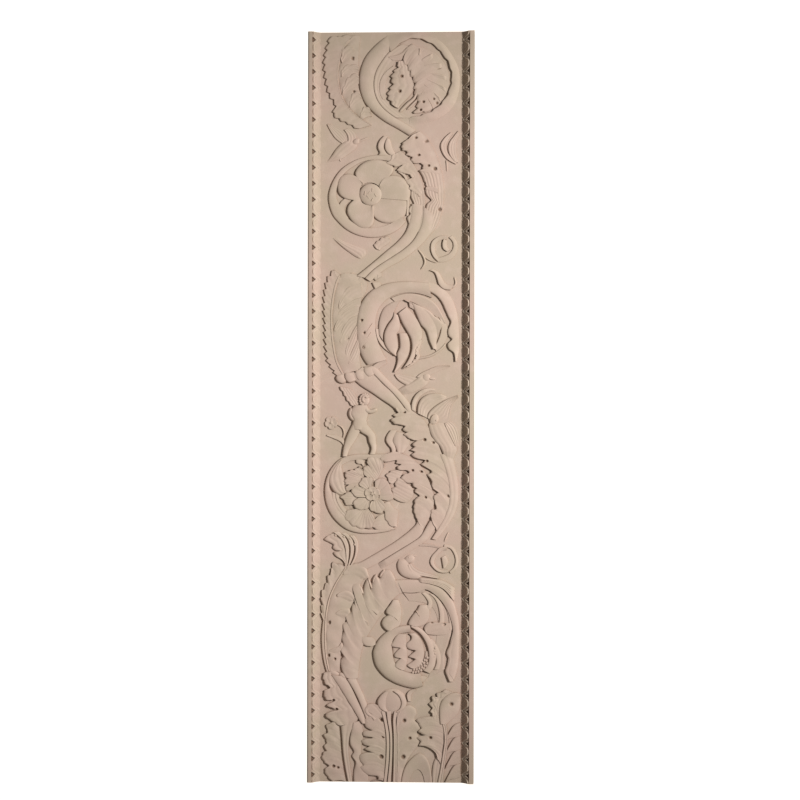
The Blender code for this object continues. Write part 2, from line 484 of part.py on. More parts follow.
def tendrils_low(bm):
    # palmette at the left: a jagged side and long curled plumes
    flap(bm,
         [(-204, -414), (-214, -424), (-196, -434), (-184, -442), (-187, -450), (-178, -459),
          (-162, -461), (-184, -466), (-176, -478), (-158, -487), (-148, -498), (-148, -518)],
         [(-184, -404), (-170, -416), (-160, -424), (-154, -434), (-150, -444), (-147, -454),
          (-145, -464), (-144, -474), (-143, -484), (-142, -494), (-141, -504), (-140, -518)],
         rise=(11, 8), lines=2, cut=0.9, cols=18, step=2.3)
    plumes = (([(-186, -402), (-164, -418), (-150, -440), (-144, -470), (-143, -512)],
               [(-168, -398), (-148, -414), (-136, -438), (-134, -470), (-140, -514)]),
              ([(-160, -406), (-144, -416), (-132, -440), (-130, -470), (-139, -514)],
               [(-146, -402), (-128, -416), (-118, -440), (-120, -472), (-136, -516)]),
              ([(-134, -412), (-122, -424), (-114, -446), (-116, -476), (-135, -516)],
               [(-118, -410), (-106, -428), (-104, -450), (-110, -480), (-130, -518)]))
    for edge, back in plumes:
        flap(bm, edge, back, rise=(10, 6), swell=2, lines=2, cut=0.8, cols=12)
    for x, z in ((-177, -411), (-150, -415), (-131, -421), (-115, -440)):
        blob(bm, x, z, 9, 7, -30, rise=4, lift=8, segments=8, rings=6)
    # spiral tendril at the right
    flap(bm, [(92, -436), (130, -438), (158, -446)], [(92, -444), (130, -446), (158, -452)], rise=(6, 3))
    flap(bm,
         [(180, -446), (158, -448), (144, -461), (130, -478), (126, -496), (134, -511), (150, -525),
          (168, -530), (186, -528)],
         [(180, -456), (166, -458), (154, -468), (143, -482), (139, -496), (144, -508), (156, -518),
          (168, -521), (182, -518)], rise=(9, 5), swell=1)
    flap(bm, [(170, -448), (190, -452), (202, -468), (207, -490), (202, -510), (188, -524)],
         [(172, -438), (196, -444), (211, -464), (217, -490), (211, -514), (192, -532)], rise=(7, 3),
         swell=1)
    flap(bm, [(162, -480), (164, -496), (168, -514)], [(176, -474), (184, -494), (176, -512)],
         rise=(9, 5), swell=2)
    # bird over the fifth scroll, with its long tail
    flap(bm, [(26, -486), (20, -502), (22, -520), (32, -536), (50, -546), (72, -550), (96, -548)],
         [(48, -484), (54, -494), (60, -504), (68, -514), (78, -522), (90, -530), (104, -538)],
         rise=(9, 6), swell=5, cols=16, taper=(0.1, 0.1))
    blob(bm, 60, -486, 36, 26, 30, rise=9)
    blade(bm, (66, -476), (82, -474), 6, 5)
    blob(bm, 59, -481, 5, 5, rise=3, lift=7, segments=8, rings=6)
    flap(bm, [(54, -504), (60, -522), (76, -536), (110, -542), (150, -548)],
         [(66, -500), (78, -514), (96, -524), (124, -532), (156, -542)], rise=(11, 6), lines=2)
    for shift in (0, 10, 20, 30):
        flap(bm,
             [(84, -552 - shift / 4), (130, -556 - shift / 3), (168, -566 - shift / 2),
              (202, -590 - shift)],
             [(84, -545 - shift / 4), (134, -548 - shift / 3), (172, -556 - shift / 2),
              (206, -578 - shift)], rise=(19, 15), cols=8, taper=(0.1, 0.1))


def scroll_four(bm):
    # the stem from the fifth scroll, in two channels
    flap(bm,
         [(-140, -508), (-100, -497), (-60, -475), (-20, -451), (12, -431), (42, -409), (66, -389),
          (82, -370), (84, -350)],
         [(-130, -536), (-88, -522), (-46, -501), (-6, -477), (26, -457), (64, -434), (90, -416),
          (103, -398), (106, -376)], rise=(11, 8), swell=3, cols=16)
    flap(bm,
         [(-40, -500), (-6, -478), (28, -457), (66, -433), (92, -415), (104, -398), (116, -376),
          (124, -362)],
         [(-30, -518), (10, -494), (50, -470), (88, -444), (116, -424), (132, -402), (146, -384),
          (158, -370)], rise=(11, 4), swell=4, taper=(0.1, 0))
    # the round that turns in on itself
    outer = [(20, -150), (-60, -150), (-120, -152), (-160, -164), (-184, -186), (-202, -216),
             (-211, -250), (-212, -284), (-205, -318), (-190, -348), (-168, -373), (-140, -393),
             (-100, -404), (-50, -404), (0, -396)]
    flap(bm, outer,
         [(10, -168), (-50, -168), (-104, -168), (-140, -176), (-170, -196), (-190, -222), (-197, -250),
          (-190, -276), (-176, -304), (-164, -326), (-148, -350), (-126, -370), (-92, -388), (-50, -392),
          (0, -386)], rise=(10, 9), swell=2.5, cols=14)
    flap(bm,
         [(-160, -168), (-184, -196), (-198, -222), (-200, -240), (-192, -258), (-182, -272),
          (-164, -282), (-148, -276)],
         [(-152, -170), (-158, -190), (-154, -210), (-150, -226), (-148, -240), (-148, -252),
          (-146, -264), (-142, -272)], rise=(14, 9), swell=3, lines=3, cut=0.9, cols=20)
    for shift in (0, 11, 22):
        flap(bm,
             [(-200 + shift, -268 - shift / 3), (-196 + shift, -300), (-180 + shift, -330),
              (-158 + shift, -352)],
             [(-188 + shift, -272 - shift / 3), (-184 + shift, -300), (-168 + shift, -324),
              (-148 + shift, -344)], rise=(11.5, 8), cols=8)
    # the loose rosette: its outer leaves, then its heart, each from its rim in to its root
    blob(bm, -56, -280, 176, 178, 0, rise=4)
    outer_leaves = (([(-109, -160), (-113, -176), (-105, -182), (-98, -174)],
                     [(-91, -158), (-88, -168), (-85, -180), (-88, -190)], (9, 5), 0),
                    ([(16, -200), (-4, -207), (-14, -218), (-8, -232), (-2, -245)],
                     [(40, -206), (34, -218), (28, -228), (20, -236), (8, -244)], (12, 7), 3),
                    ([(37, -228), (22, -228), (15, -238), (14, -252), (4, -262), (6, -280), (10, -292)],
                     [(50, -246), (66, -254), (72, -268), (72, -282), (62, -296), (50, -304), (33, -303)],
                     (12, 8), 4),
                    ([(-20, -187), (-27, -170), (-41, -161), (-63, -157), (-75, -166), (-77, -176),
                      (-66, -181), (-80, -188), (-89, -200), (-86, -214), (-76, -222)],
                     [(-24, -200), (-28, -206), (-33, -214), (-38, -222), (-42, -228), (-46, -232),
                      (-50, -236), (-53, -237), (-56, -238), (-58, -238), (-60, -238)], (13, 9), 6),
                    ([(-91, -197), (-102, -191), (-116, -200), (-130, -202), (-147, -212), (-144, -226),
                      (-148, -237), (-146, -248), (-137, -248), (-147, -262), (-139, -268), (-121, -258)],
                     [(-84, -214), (-84, -218), (-86, -222), (-88, -226), (-89, -230), (-90, -234),
                      (-91, -238), (-92, -242), (-93, -245), (-94, -248), (-95, -251), (-96, -254)],
                     (13, 9), 10),
                    ([(-128, -270), (-148, -278), (-161, -290), (-148, -300), (-147, -312), (-128, -313)],
                     [(-112, -276), (-110, -283), (-109, -290), (-109, -297), (-110, -304), (-112, -311)],
                     (11, 8), 4),
                    ([(-20, -304), (-22, -330), (-17, -354), (-6, -375), (16, -383)],
                     [(-4, -302), (10, -322), (24, -333), (22, -356), (19, -382)], (12, 8), 3),
                    ([(-44, -350), (-60, -380), (-52, -388), (-34, -394)],
                     [(-20, -340), (-10, -366), (2, -380), (16, -391)], (11, 7), 3),
                    ([(-120, -328), (-138, -331), (-148, -346), (-143, -362), (-130, -374), (-113, -383),
                      (-96, -388), (-78, -389), (-61, -385), (-52, -368), (-54, -347)],
                     [(-92, -322), (-90, -323), (-88, -324), (-87, -324), (-86, -325), (-84, -325),
                      (-82, -325), (-80, -325), (-78, -324), (-76, -323), (-74, -322)], (13, 10), 6))
    heart = (([(-50, -234), (-34, -228), (-12, -233), (-2, -254), (9, -288), (-4, -300)],
              [(-50, -260), (-44, -260), (-38, -266), (-36, -276), (-36, -288), (-38, -294)], (15, 11)),
             ([(-60, -240), (-56, -232), (-64, -225), (-78, -224), (-93, -230), (-101, -247),
               (-92, -256)],
              [(-60, -254), (-62, -255), (-65, -256), (-68, -258), (-71, -260), (-74, -262), (-76, -264)],
              (16, 12)),
             ([(-94, -256), (-110, -252), (-121, -257), (-125, -268), (-121, -280), (-110, -287),
               (-98, -288)],
              [(-78, -264), (-80, -267), (-81, -270), (-82, -275), (-81, -280), (-80, -284), (-78, -288)],
              (16, 12)),
             ([(-104, -290), (-118, -302), (-117, -319), (-102, -327), (-80, -328), (-70, -319),
               (-67, -306)],
              [(-78, -290), (-77, -292), (-75, -294), (-73, -296), (-71, -297), (-69, -298), (-66, -298)],
              (16, 12)),
             ([(-66, -308), (-66, -326), (-48, -338), (-26, -337), (-16, -320), (-22, -302)],
              [(-60, -300), (-56, -300), (-52, -299), (-47, -297), (-43, -294), (-40, -290)], (15, 11)))
    for edge, root, rise, teeth in outer_leaves:
        flap(bm, edge, root, rise=rise, swell=2, teeth=teeth, tooth=5, veins=2 * teeth, cols=18, step=2.2)
    for edge, root, rise in heart:
        flap(bm, edge, root, rise=rise, swell=1.5, teeth=3, tooth=4, veins=5, cols=16, step=2)
    for i in range(5):
        a = math.radians(20 + 72 * i)
        petal(bm, (-59 + 4 * math.cos(a), -277 + 4 * math.sin(a)),
              (-59 + 25 * math.cos(a), -277 + 23 * math.sin(a)), 13, 18, 3, rows=12, cols=11)
    blob(bm, -59, -277, 13, 12, rise=6, lift=12, segments=10, rings=7)
    for x, z, size in ((-68, -226, 8), (-54, -232, 8), (-34, -232, 8), (-86, -384, 7), (-88, -326, 7),
                       (-100, -324, 7)):
        blob(bm, x, z, size, size, rise=4, lift=9, segments=8, rings=6)
    # the toothed leaf inside the right stem
    flap(bm,
         [(0, -146), (-16, -150), (-32, -156), (-34, -166), (-18, -175), (20, -170), (16, -178),
          (32, -184), (20, -192), (28, -201), (50, -202), (60, -209), (42, -215), (34, -226), (52, -242),
          (66, -238), (74, -254), (84, -259), (76, -268), (92, -284), (80, -292), (76, -310), (74, -330),
          (80, -350), (92, -374)],
         [(10, -140), (40, -150), (70, -166), (96, -188), (112, -214), (124, -240), (132, -262),
          (138, -282), (138, -310), (132, -334), (124, -352), (116, -368), (104, -392)], rise=(14, 10),
         swell=1, teeth=24, tooth=3, cols=24, step=2.2, folds=6, fold=1.8, veins=7, vein=1.0, bend=-0.2,
         eyes=((70, -202, 4), (98, -206, 4), (112, -288, 4), (14, -240, 5), (-6, -206, 4)))
    # the great leaf that leans out to the right
    flap(bm,
         [(12, -2), (22, -18), (6, -26), (16, -32), (2, -39), (10, -52), (34, -57), (46, -62), (38, -72),
          (52, -81), (42, -86), (56, -98), (76, -106), (100, -104), (80, -108), (70, -122), (78, -127),
          (64, -136), (76, -143), (67, -153), (84, -164), (112, -170), (98, -182), (112, -192),
          (132, -206), (118, -216), (130, -232), (134, -258), (152, -273), (138, -282), (142, -306),
          (146, -326), (132, -326), (128, -346), (136, -373)],
         [(58, -6), (92, -28), (118, -58), (130, -94), (148, -112), (160, -140), (172, -172), (184, -214),
          (192, -262), (190, -300), (182, -334), (168, -366), (148, -396)], rise=(15, 9), swell=1,
         teeth=34, tooth=3, cols=26, step=2.2, folds=7, fold=1.8, veins=9, vein=1.0, bend=-0.2,
         eyes=((108, -104, 5), (136, -113, 4), (116, -172, 4), (184, -284, 4), (44, -16, 4)))
    flap(bm,
         [(152, -150), (168, -186), (180, -228), (186, -272), (184, -310), (172, -346), (152, -384),
          (130, -420)],
         [(196, -150), (206, -190), (214, -232), (217, -276), (212, -318), (196, -356), (172, -392),
          (146, -424)], rise=(11, 4), swell=3, lines=2, cut=0.8, cols=16)
    stem(bm, [(186, -398, 2, 4), (178, -414, 3, 6), (171, -432, 2, 4)])
    # the curled rim at its head, and the leaf that it wraps
    flap(bm, [(66, -14), (66, 12), (77, 38), (97, 55), (122, 61), (142, 58)],
         [(80, -18), (80, 8), (90, 30), (106, 44), (124, 52), (142, 52)], rise=(13, 9), swell=2,
         taper=(0.05, 0.3))
    flap(bm, [(84, -18), (86, 6), (97, 28), (118, 41), (142, 45), (162, 42), (178, 35)],
         [(116, -34), (118, -20), (126, -8), (140, 4), (154, 14), (166, 22), (178, 29)], rise=(12, 4),
         swell=2, lines=4, cut=1.0, cols=20, taper=(0.0, 0.15))
    # the pod between the leaves
    flap(bm, [(-2, -74), (-13, -90), (-17, -106), (-10, -120), (0, -132), (2, -150)],
         [(20, -74), (10, -92), (6, -108), (12, -122), (16, -134), (14, -150)], rise=(12, 8), swell=2)
    flap(bm, [(14, -78), (6, -94), (6, -112), (14, -128), (20, -146)],
         [(60, -86), (62, -104), (58, -120), (50, -132), (40, -146)], rise=(10, 4), swell=3, lines=2)


def bird_right(bm):
    # raised wing, behind the head
    flap(bm, [(116, -34), (120, -20), (130, -7), (147, 7), (176, 24), (214, 39)],
         [(152, -52), (172, -50), (188, -42), (190, -22), (195, 4), (216, 30)], rise=(10, 3), lines=6,
         cut=1.2, cols=26)
    # body, with the folded wing over its back
    flap(bm, [(122, -50), (121, -70), (129, -92), (141, -110), (153, -122), (163, -142), (174, -170)],
         [(164, -46), (180, -64), (192, -88), (204, -112), (212, -134), (204, -156), (194, -178)],
         rise=(14, 7), swell=5, lines=4, cut=0.6, cols=22, taper=(0.15, 0.25))
    flap(bm, [(170, -50), (179, -75), (194, -104), (211, -134)],
         [(178, -40), (204, -56), (216, -82), (218, -116), (213, -138)], rise=(13, 4), lines=4, cut=1.3,
         cols=22, taper=(0.1, 0.15))
    # head turned down to the left, and the tail's edge
    blob(bm, 138, -38, 38, 30, 75, rise=10, lift=4, segments=20)
    stem(bm, [(128, -48, 1, 10), (129, -36, 2, 15), (135, -26, 2, 16), (146, -22, 1, 12)], cols=7)
    blade(bm, (133, -46), (121, -58), 8, 12)
    blob(bm, 145, -42, 7, 6, rise=3, lift=13, segments=8, rings=6)
    stem(bm, [(212, -136, 2, 7), (200, -148, 3, 8), (190, -160, 2, 6)])


def putto(bm):
    # legs: the standing one, then the one that steps out
    flap(bm, [(-124, -54), (-136, -78), (-146, -104), (-153, -130), (-156, -158)],
         [(-92, -62), (-104, -88), (-118, -112), (-132, -134), (-140, -158)], rise=(13, 8), swell=5,
         cols=16)
    flap(bm, [(-112, -60), (-98, -80), (-76, -94), (-72, -110), (-64, -132), (-70, -152)],
         [(-78, -54), (-62, -72), (-50, -90), (-48, -108), (-46, -130), (-50, -150)], rise=(13, 7),
         swell=5, cols=16)
    # body, arms and head
    flap(bm, [(-118, 6), (-128, -8), (-132, -22), (-122, -38), (-124, -56), (-120, -72)],
         [(-76, 6), (-72, -10), (-74, -26), (-78, -42), (-76, -56), (-82, -72)], rise=(15, 9), swell=6,
         cols=18)
    stem(bm, [(-122, -2, 8, 14), (-130, -20, 8, 15), (-122, -38, 7, 14), (-106, -42, 5, 15)])
    stem(bm, [(-84, -4, 9, 15), (-70, -14, 8, 14), (-56, -12, 7, 13), (-44, -4, 5, 11)])
    blob(bm, -84, 22, 38, 32, 75, rise=12, lift=4, segments=20, rings=12)
    for i in range(9):
        a = math.radians(40 + 25 * i)
        blob(bm, -84 + 14 * math.cos(a), 23 + 17 * math.sin(a), 12, 9, 60, rise=6, lift=11, segments=8,
             rings=6)
        blob(bm, -83 + 7 * math.cos(a), 26 + 9 * math.sin(a), 10, 8, 20, rise=5, lift=15, segments=8,
             rings=6)
    stem(bm, [(-103, -14, 2, 2), (-104, -26, 2.5, 3)], cols=5, lift=13)
    # wing
    flap(bm, [(-166, 66), (-152, 44), (-140, 22), (-122, 2)],
         [(-128, 58), (-116, 42), (-104, 26), (-98, 10)], rise=(10, 5), lines=4, cut=0.9, teeth=4,
         tooth=4, cols=20)


def flower_left(bm):
    for i in range(5):
        a = math.radians(54 + 72 * i)
        petal(bm, (-191, -50), (-191 + 21 * math.cos(a), -50 + 21 * math.sin(a)), 11, 9, 3, rows=10,
              cols=9)
    blob(bm, -191, -50, 11, 11, rise=6, lift=5, segments=8, rings=6)
    stem(bm, [(-174, -56, 2, 5), (-156, -66, 3, 8), (-150, -86, 3, 8), (-158, -104, 2, 5)], cols=7)
    flap(bm, [(-206, -92), (-184, -101), (-160, -113), (-150, -126)],
         [(-204, -88), (-178, -90), (-156, -98), (-146, -116)], rise=(8, 4))


def stalks_middle(bm):
    # from the third scroll's node down to the fourth's leaves, in two channels
    flap(bm, [(-136, 92), (-116, 83), (-95, 66), (-60, 44), (-28, 22), (2, 2), (26, -20)],
         [(-92, 128), (-66, 113), (-48, 97), (-24, 72), (2, 48), (28, 18), (50, -12)], rise=(12, 9),
         swell=3, cols=16)
    flap(bm, [(-78, 126), (-64, 113), (-46, 95), (-22, 71), (4, 46), (30, 16), (52, -14)],
         [(-50, 134), (-38, 118), (-20, 98), (4, 74), (30, 48), (54, 20), (72, -10)], rise=(12, 5),
         swell=3, cols=14)


def bird_middle(bm):
    # body, head and beak
    flap(bm, [(20, 54), (38, 66), (58, 76), (80, 90), (104, 110)],
         [(40, 40), (66, 46), (92, 58), (112, 70), (124, 90)], rise=(9, 4), swell=4, lines=3, cut=0.5,
         cols=20, taper=(0.25, 0.2))
    blob(bm, 112, 95, 30, 26, 30, rise=10)
    blade(bm, (124, 92), (142, 90), 8, 7)
    # wing at the left, and the long one at the right
    flap(bm, [(12, 104), (18, 92), (28, 82), (50, 69)], [(14, 106), (36, 104), (62, 100), (88, 92)],
         rise=(9, 4), lines=3, cut=0.8, cols=18)
    flap(bm, [(80, 95), (94, 108), (114, 118), (148, 131), (188, 133)],
         [(108, 96), (128, 104), (152, 116), (176, 124), (190, 130)], rise=(9, 3), lines=4, cut=0.7,
         cols=18)


def scroll_three(bm):
    # the calyx leaf at the left: toothed outer side, midrib and long inner lobes
    rib = [(-150, 100), (-172, 140), (-184, 190), (-190, 245), (-191, 300), (-186, 350), (-176, 395),
           (-164, 424)]
    flap(bm,
         [(-172, 98), (-190, 124), (-204, 150), (-210, 190), (-212, 235), (-214, 285), (-216, 335),
          (-212, 375), (-203, 412), (-182, 440)], rib, rise=(9, 8), teeth=16, tooth=10, folds=16,
         fold=0.8, veins=16, vein=0.4, step=2.5)
    flap(bm, [(-182, 440), (-166, 416), (-150, 424), (-138, 418), (-126, 430), (-112, 410), (-96, 424)],
         [(-176, 400), (-160, 396), (-146, 398), (-132, 400), (-118, 396), (-104, 390), (-84, 384)],
         rise=(10, 7), step=2.5)
    stem(bm, [(x, z, 4.0, 12) for x, z in rib], cols=7, flutes=2, cut=1.5)
    flap(bm, rib,
         [(-96, 112), (-100, 150), (-108, 200), (-112, 250), (-108, 300), (-98, 340), (-80, 370),
          (-76, 400)], rise=(8, 6), swell=3, folds=5, fold=1.6, veins=9, vein=0.6, bend=0.3, cols=22,
         eyes=((-140, 222, 5),))
    lobes = (((-170, 300), (-164, 350), (-138, 388), (-96, 402), (-92, 352), (-130, 330)),
             ((-176, 286), (-160, 316), (-124, 344), (-94, 352), (-98, 322), (-140, 300)),
             ((-186, 230), (-174, 280), (-140, 316), (-100, 326), (-106, 290), (-140, 262)),
             ((-164, 190), (-162, 240), (-136, 284), (-106, 296), (-110, 262), (-136, 222)),
             ((-146, 138), (-146, 190), (-128, 236), (-110, 266), (-106, 226), (-116, 180)),
             ((-140, 128), (-132, 168), (-116, 204), (-104, 226), (-98, 190), (-106, 150)))
    for root, low, bend, tip, back, hollow in lobes:
        flap(bm, [root, low, bend, tip], [root, hollow, back], rise=(11, 7), swell=2, lines=4, cut=0.9,
             cols=20, taper=(0.15, 0))
    # the fat lobes of the node
    knobs = (([(-171, 106), (-178, 92), (-170, 80), (-152, 74)],
              [(-150, 110), (-145, 99), (-141, 90), (-140, 82)], 13),
             ([(-146, 114), (-150, 98), (-144, 84), (-130, 76)],
              [(-118, 114), (-113, 101), (-111, 90), (-114, 82)], 16),
             ([(-112, 122), (-116, 104), (-110, 90), (-98, 82)],
              [(-88, 120), (-83, 107), (-81, 97), (-84, 88)], 15),
             ([(-87, 130), (-88, 114), (-79, 101), (-66, 94)],
              [(-58, 134), (-53, 122), (-51, 112), (-52, 102)], 14))
    for edge, back, rise in knobs:
        flap(bm, edge, back, rise=(rise, rise - 5), swell=4, cols=16, taper=(0.2, 0.15))
    flap(bm, [(-64, 128), (-48, 141), (-34, 147), (-18, 151)],
         [(-52, 112), (-40, 122), (-28, 131), (-12, 140)], rise=(12, 5), lines=2)
    # the stem that grows into the bell
    outer = [(-76, 134), (-92, 158), (-104, 192), (-111, 232), (-111, 272), (-104, 312), (-90, 344),
             (-62, 374), (-20, 394), (30, 402), (80, 402), (120, 398)]
    inner = [(-14, 152), (-30, 180), (-42, 210), (-50, 245), (-50, 280), (-42, 310), (-24, 336), (0, 354),
             (30, 364), (70, 366), (104, 360), (130, 350)]
    flap(bm, outer, inner, rise=(12, 8), swell=6, cols=20,
         eyes=((-94, 278, 4), (-85, 238, 4), (-88, 192, 4)))
    for x, z in ((-92, 272), (-82, 236), (-86, 196), (-76, 222), (-72, 250)):
        stem(bm, [(x - 6, z - 14, 1.5, 14), (x + 2, z + 2, 3, 17), (x + 16, z + 22, 1.5, 15)], cols=5)
    flap(bm, [(-50, 250), (-44, 220), (-30, 196), (-8, 176), (16, 162)],
         [(-40, 250), (-34, 224), (-20, 202), (0, 184), (20, 170)], rise=(9, 4))
    # the mouth of the bell and its waved lip
    flap(bm,
         [(20, 384), (60, 384), (92, 380), (122, 369), (146, 354), (162, 334), (173, 310), (183, 288),
          (191, 270), (181, 245), (183, 228), (194, 216), (180, 202), (184, 186), (200, 174), (204, 160),
          (206, 146)],
         [(30, 402), (84, 404), (130, 398), (164, 382), (190, 354), (206, 318), (214, 284), (217, 250),
          (218, 220), (219, 196), (216, 170), (210, 146)], rise=(14, 3), swell=2.5, step=2.5, cols=18)
    flap(bm, [(0, 350), (36, 362), (70, 364), (104, 356), (130, 342), (150, 322), (164, 296), (176, 268)],
         [(14, 336), (44, 342), (68, 336), (92, 324), (112, 314), (130, 300), (146, 288), (164, 270)],
         rise=(9, 4))
    # five flame-shaped folds
    flap(bm, [(-40, 236), (-38, 280), (-24, 316), (0, 334), (30, 344)],
         [(-26, 214), (-24, 240), (-12, 266), (4, 288), (8, 304)], rise=(6, 10), swell=2)
    flap(bm, [(8, 304), (4, 284), (-10, 264), (-22, 238), (-22, 206), (-8, 180), (14, 164)],
         [(22, 294), (28, 270), (26, 246), (18, 236), (20, 216), (22, 196), (16, 170)], rise=(14, 9),
         swell=3, cols=16)
    flap(bm, [(24, 236), (27, 212), (27, 190), (19, 172), (20, 150), (16, 130), (10, 114)],
         [(50, 236), (58, 218), (60, 194), (56, 170), (44, 148), (30, 130), (14, 112)], rise=(14, 9),
         swell=3, cols=16)
    flap(bm, [(22, 298), (36, 266), (50, 242), (62, 220), (66, 195), (63, 170), (52, 146), (36, 124)],
         [(50, 320), (78, 288), (92, 264), (100, 240), (96, 214), (84, 194), (78, 168), (66, 140)],
         rise=(15, 9), swell=3, cols=18)
    flap(bm, [(40, 344), (60, 337), (78, 300), (94, 264), (110, 246), (118, 226), (122, 212), (134, 186)],
         [(80, 324), (100, 320), (122, 308), (140, 290), (150, 266), (150, 238), (146, 212), (146, 186)],
         rise=(14, 8), swell=3, cols=18)
    flap(bm, [(58, 338), (82, 324), (102, 319), (122, 309), (136, 294), (152, 284), (168, 268)],
         [(60, 320), (84, 306), (100, 296), (118, 284), (130, 268), (140, 252), (150, 230)], rise=(12, 9),
         swell=1)
    flap(bm, [(150, 290), (160, 270), (158, 240), (150, 214), (138, 190)],
         [(176, 270), (182, 250), (180, 226), (168, 200), (146, 178)], rise=(9, 4))
    # the serrated fringe and the bell's lower edge
    flap(bm, [(92, 216), (84, 196), (79, 176), (81, 160), (70, 146), (60, 136), (38, 122)],
         [(100, 214), (94, 196), (90, 176), (92, 160), (82, 146), (70, 136), (48, 124)], rise=(12, 6),
         teeth=9, tooth=6, step=2, cols=8)
    stem(bm, [(60, 146, 3, 6), (90, 156, 4, 7), (125, 164, 4, 8), (155, 182, 4, 8), (176, 204, 4, 8)],
         cols=7)


def stems_upper(bm):
    # the channelled stem between scrolls three and two
    high = [(-112, 420), (-62, 460), (-20, 496), (20, 530), (46, 562), (58, 600), (64, 650)]
    middle = [(-84, 414), (-50, 446), (0, 479), (40, 506), (68, 532), (86, 562), (97, 595), (100, 645)]
    low = [(-66, 402), (-20, 440), (30, 468), (74, 500), (108, 532), (132, 570), (142, 610)]
    flap(bm, high, middle, rise=(11, 9), swell=3)
    flap(bm, middle, low, rise=(12, 7), swell=4)
    flap(bm, [(-62, 398), (-56, 385), (-48, 372), (-40, 364)],
         [(-36, 400), (-30, 385), (-24, 372), (-20, 364)], rise=(11, 6))
    flap(bm, [(-60, 418), (-50, 404), (-44, 428)], [(-40, 434), (-30, 418), (-30, 430)], rise=(9, 6))


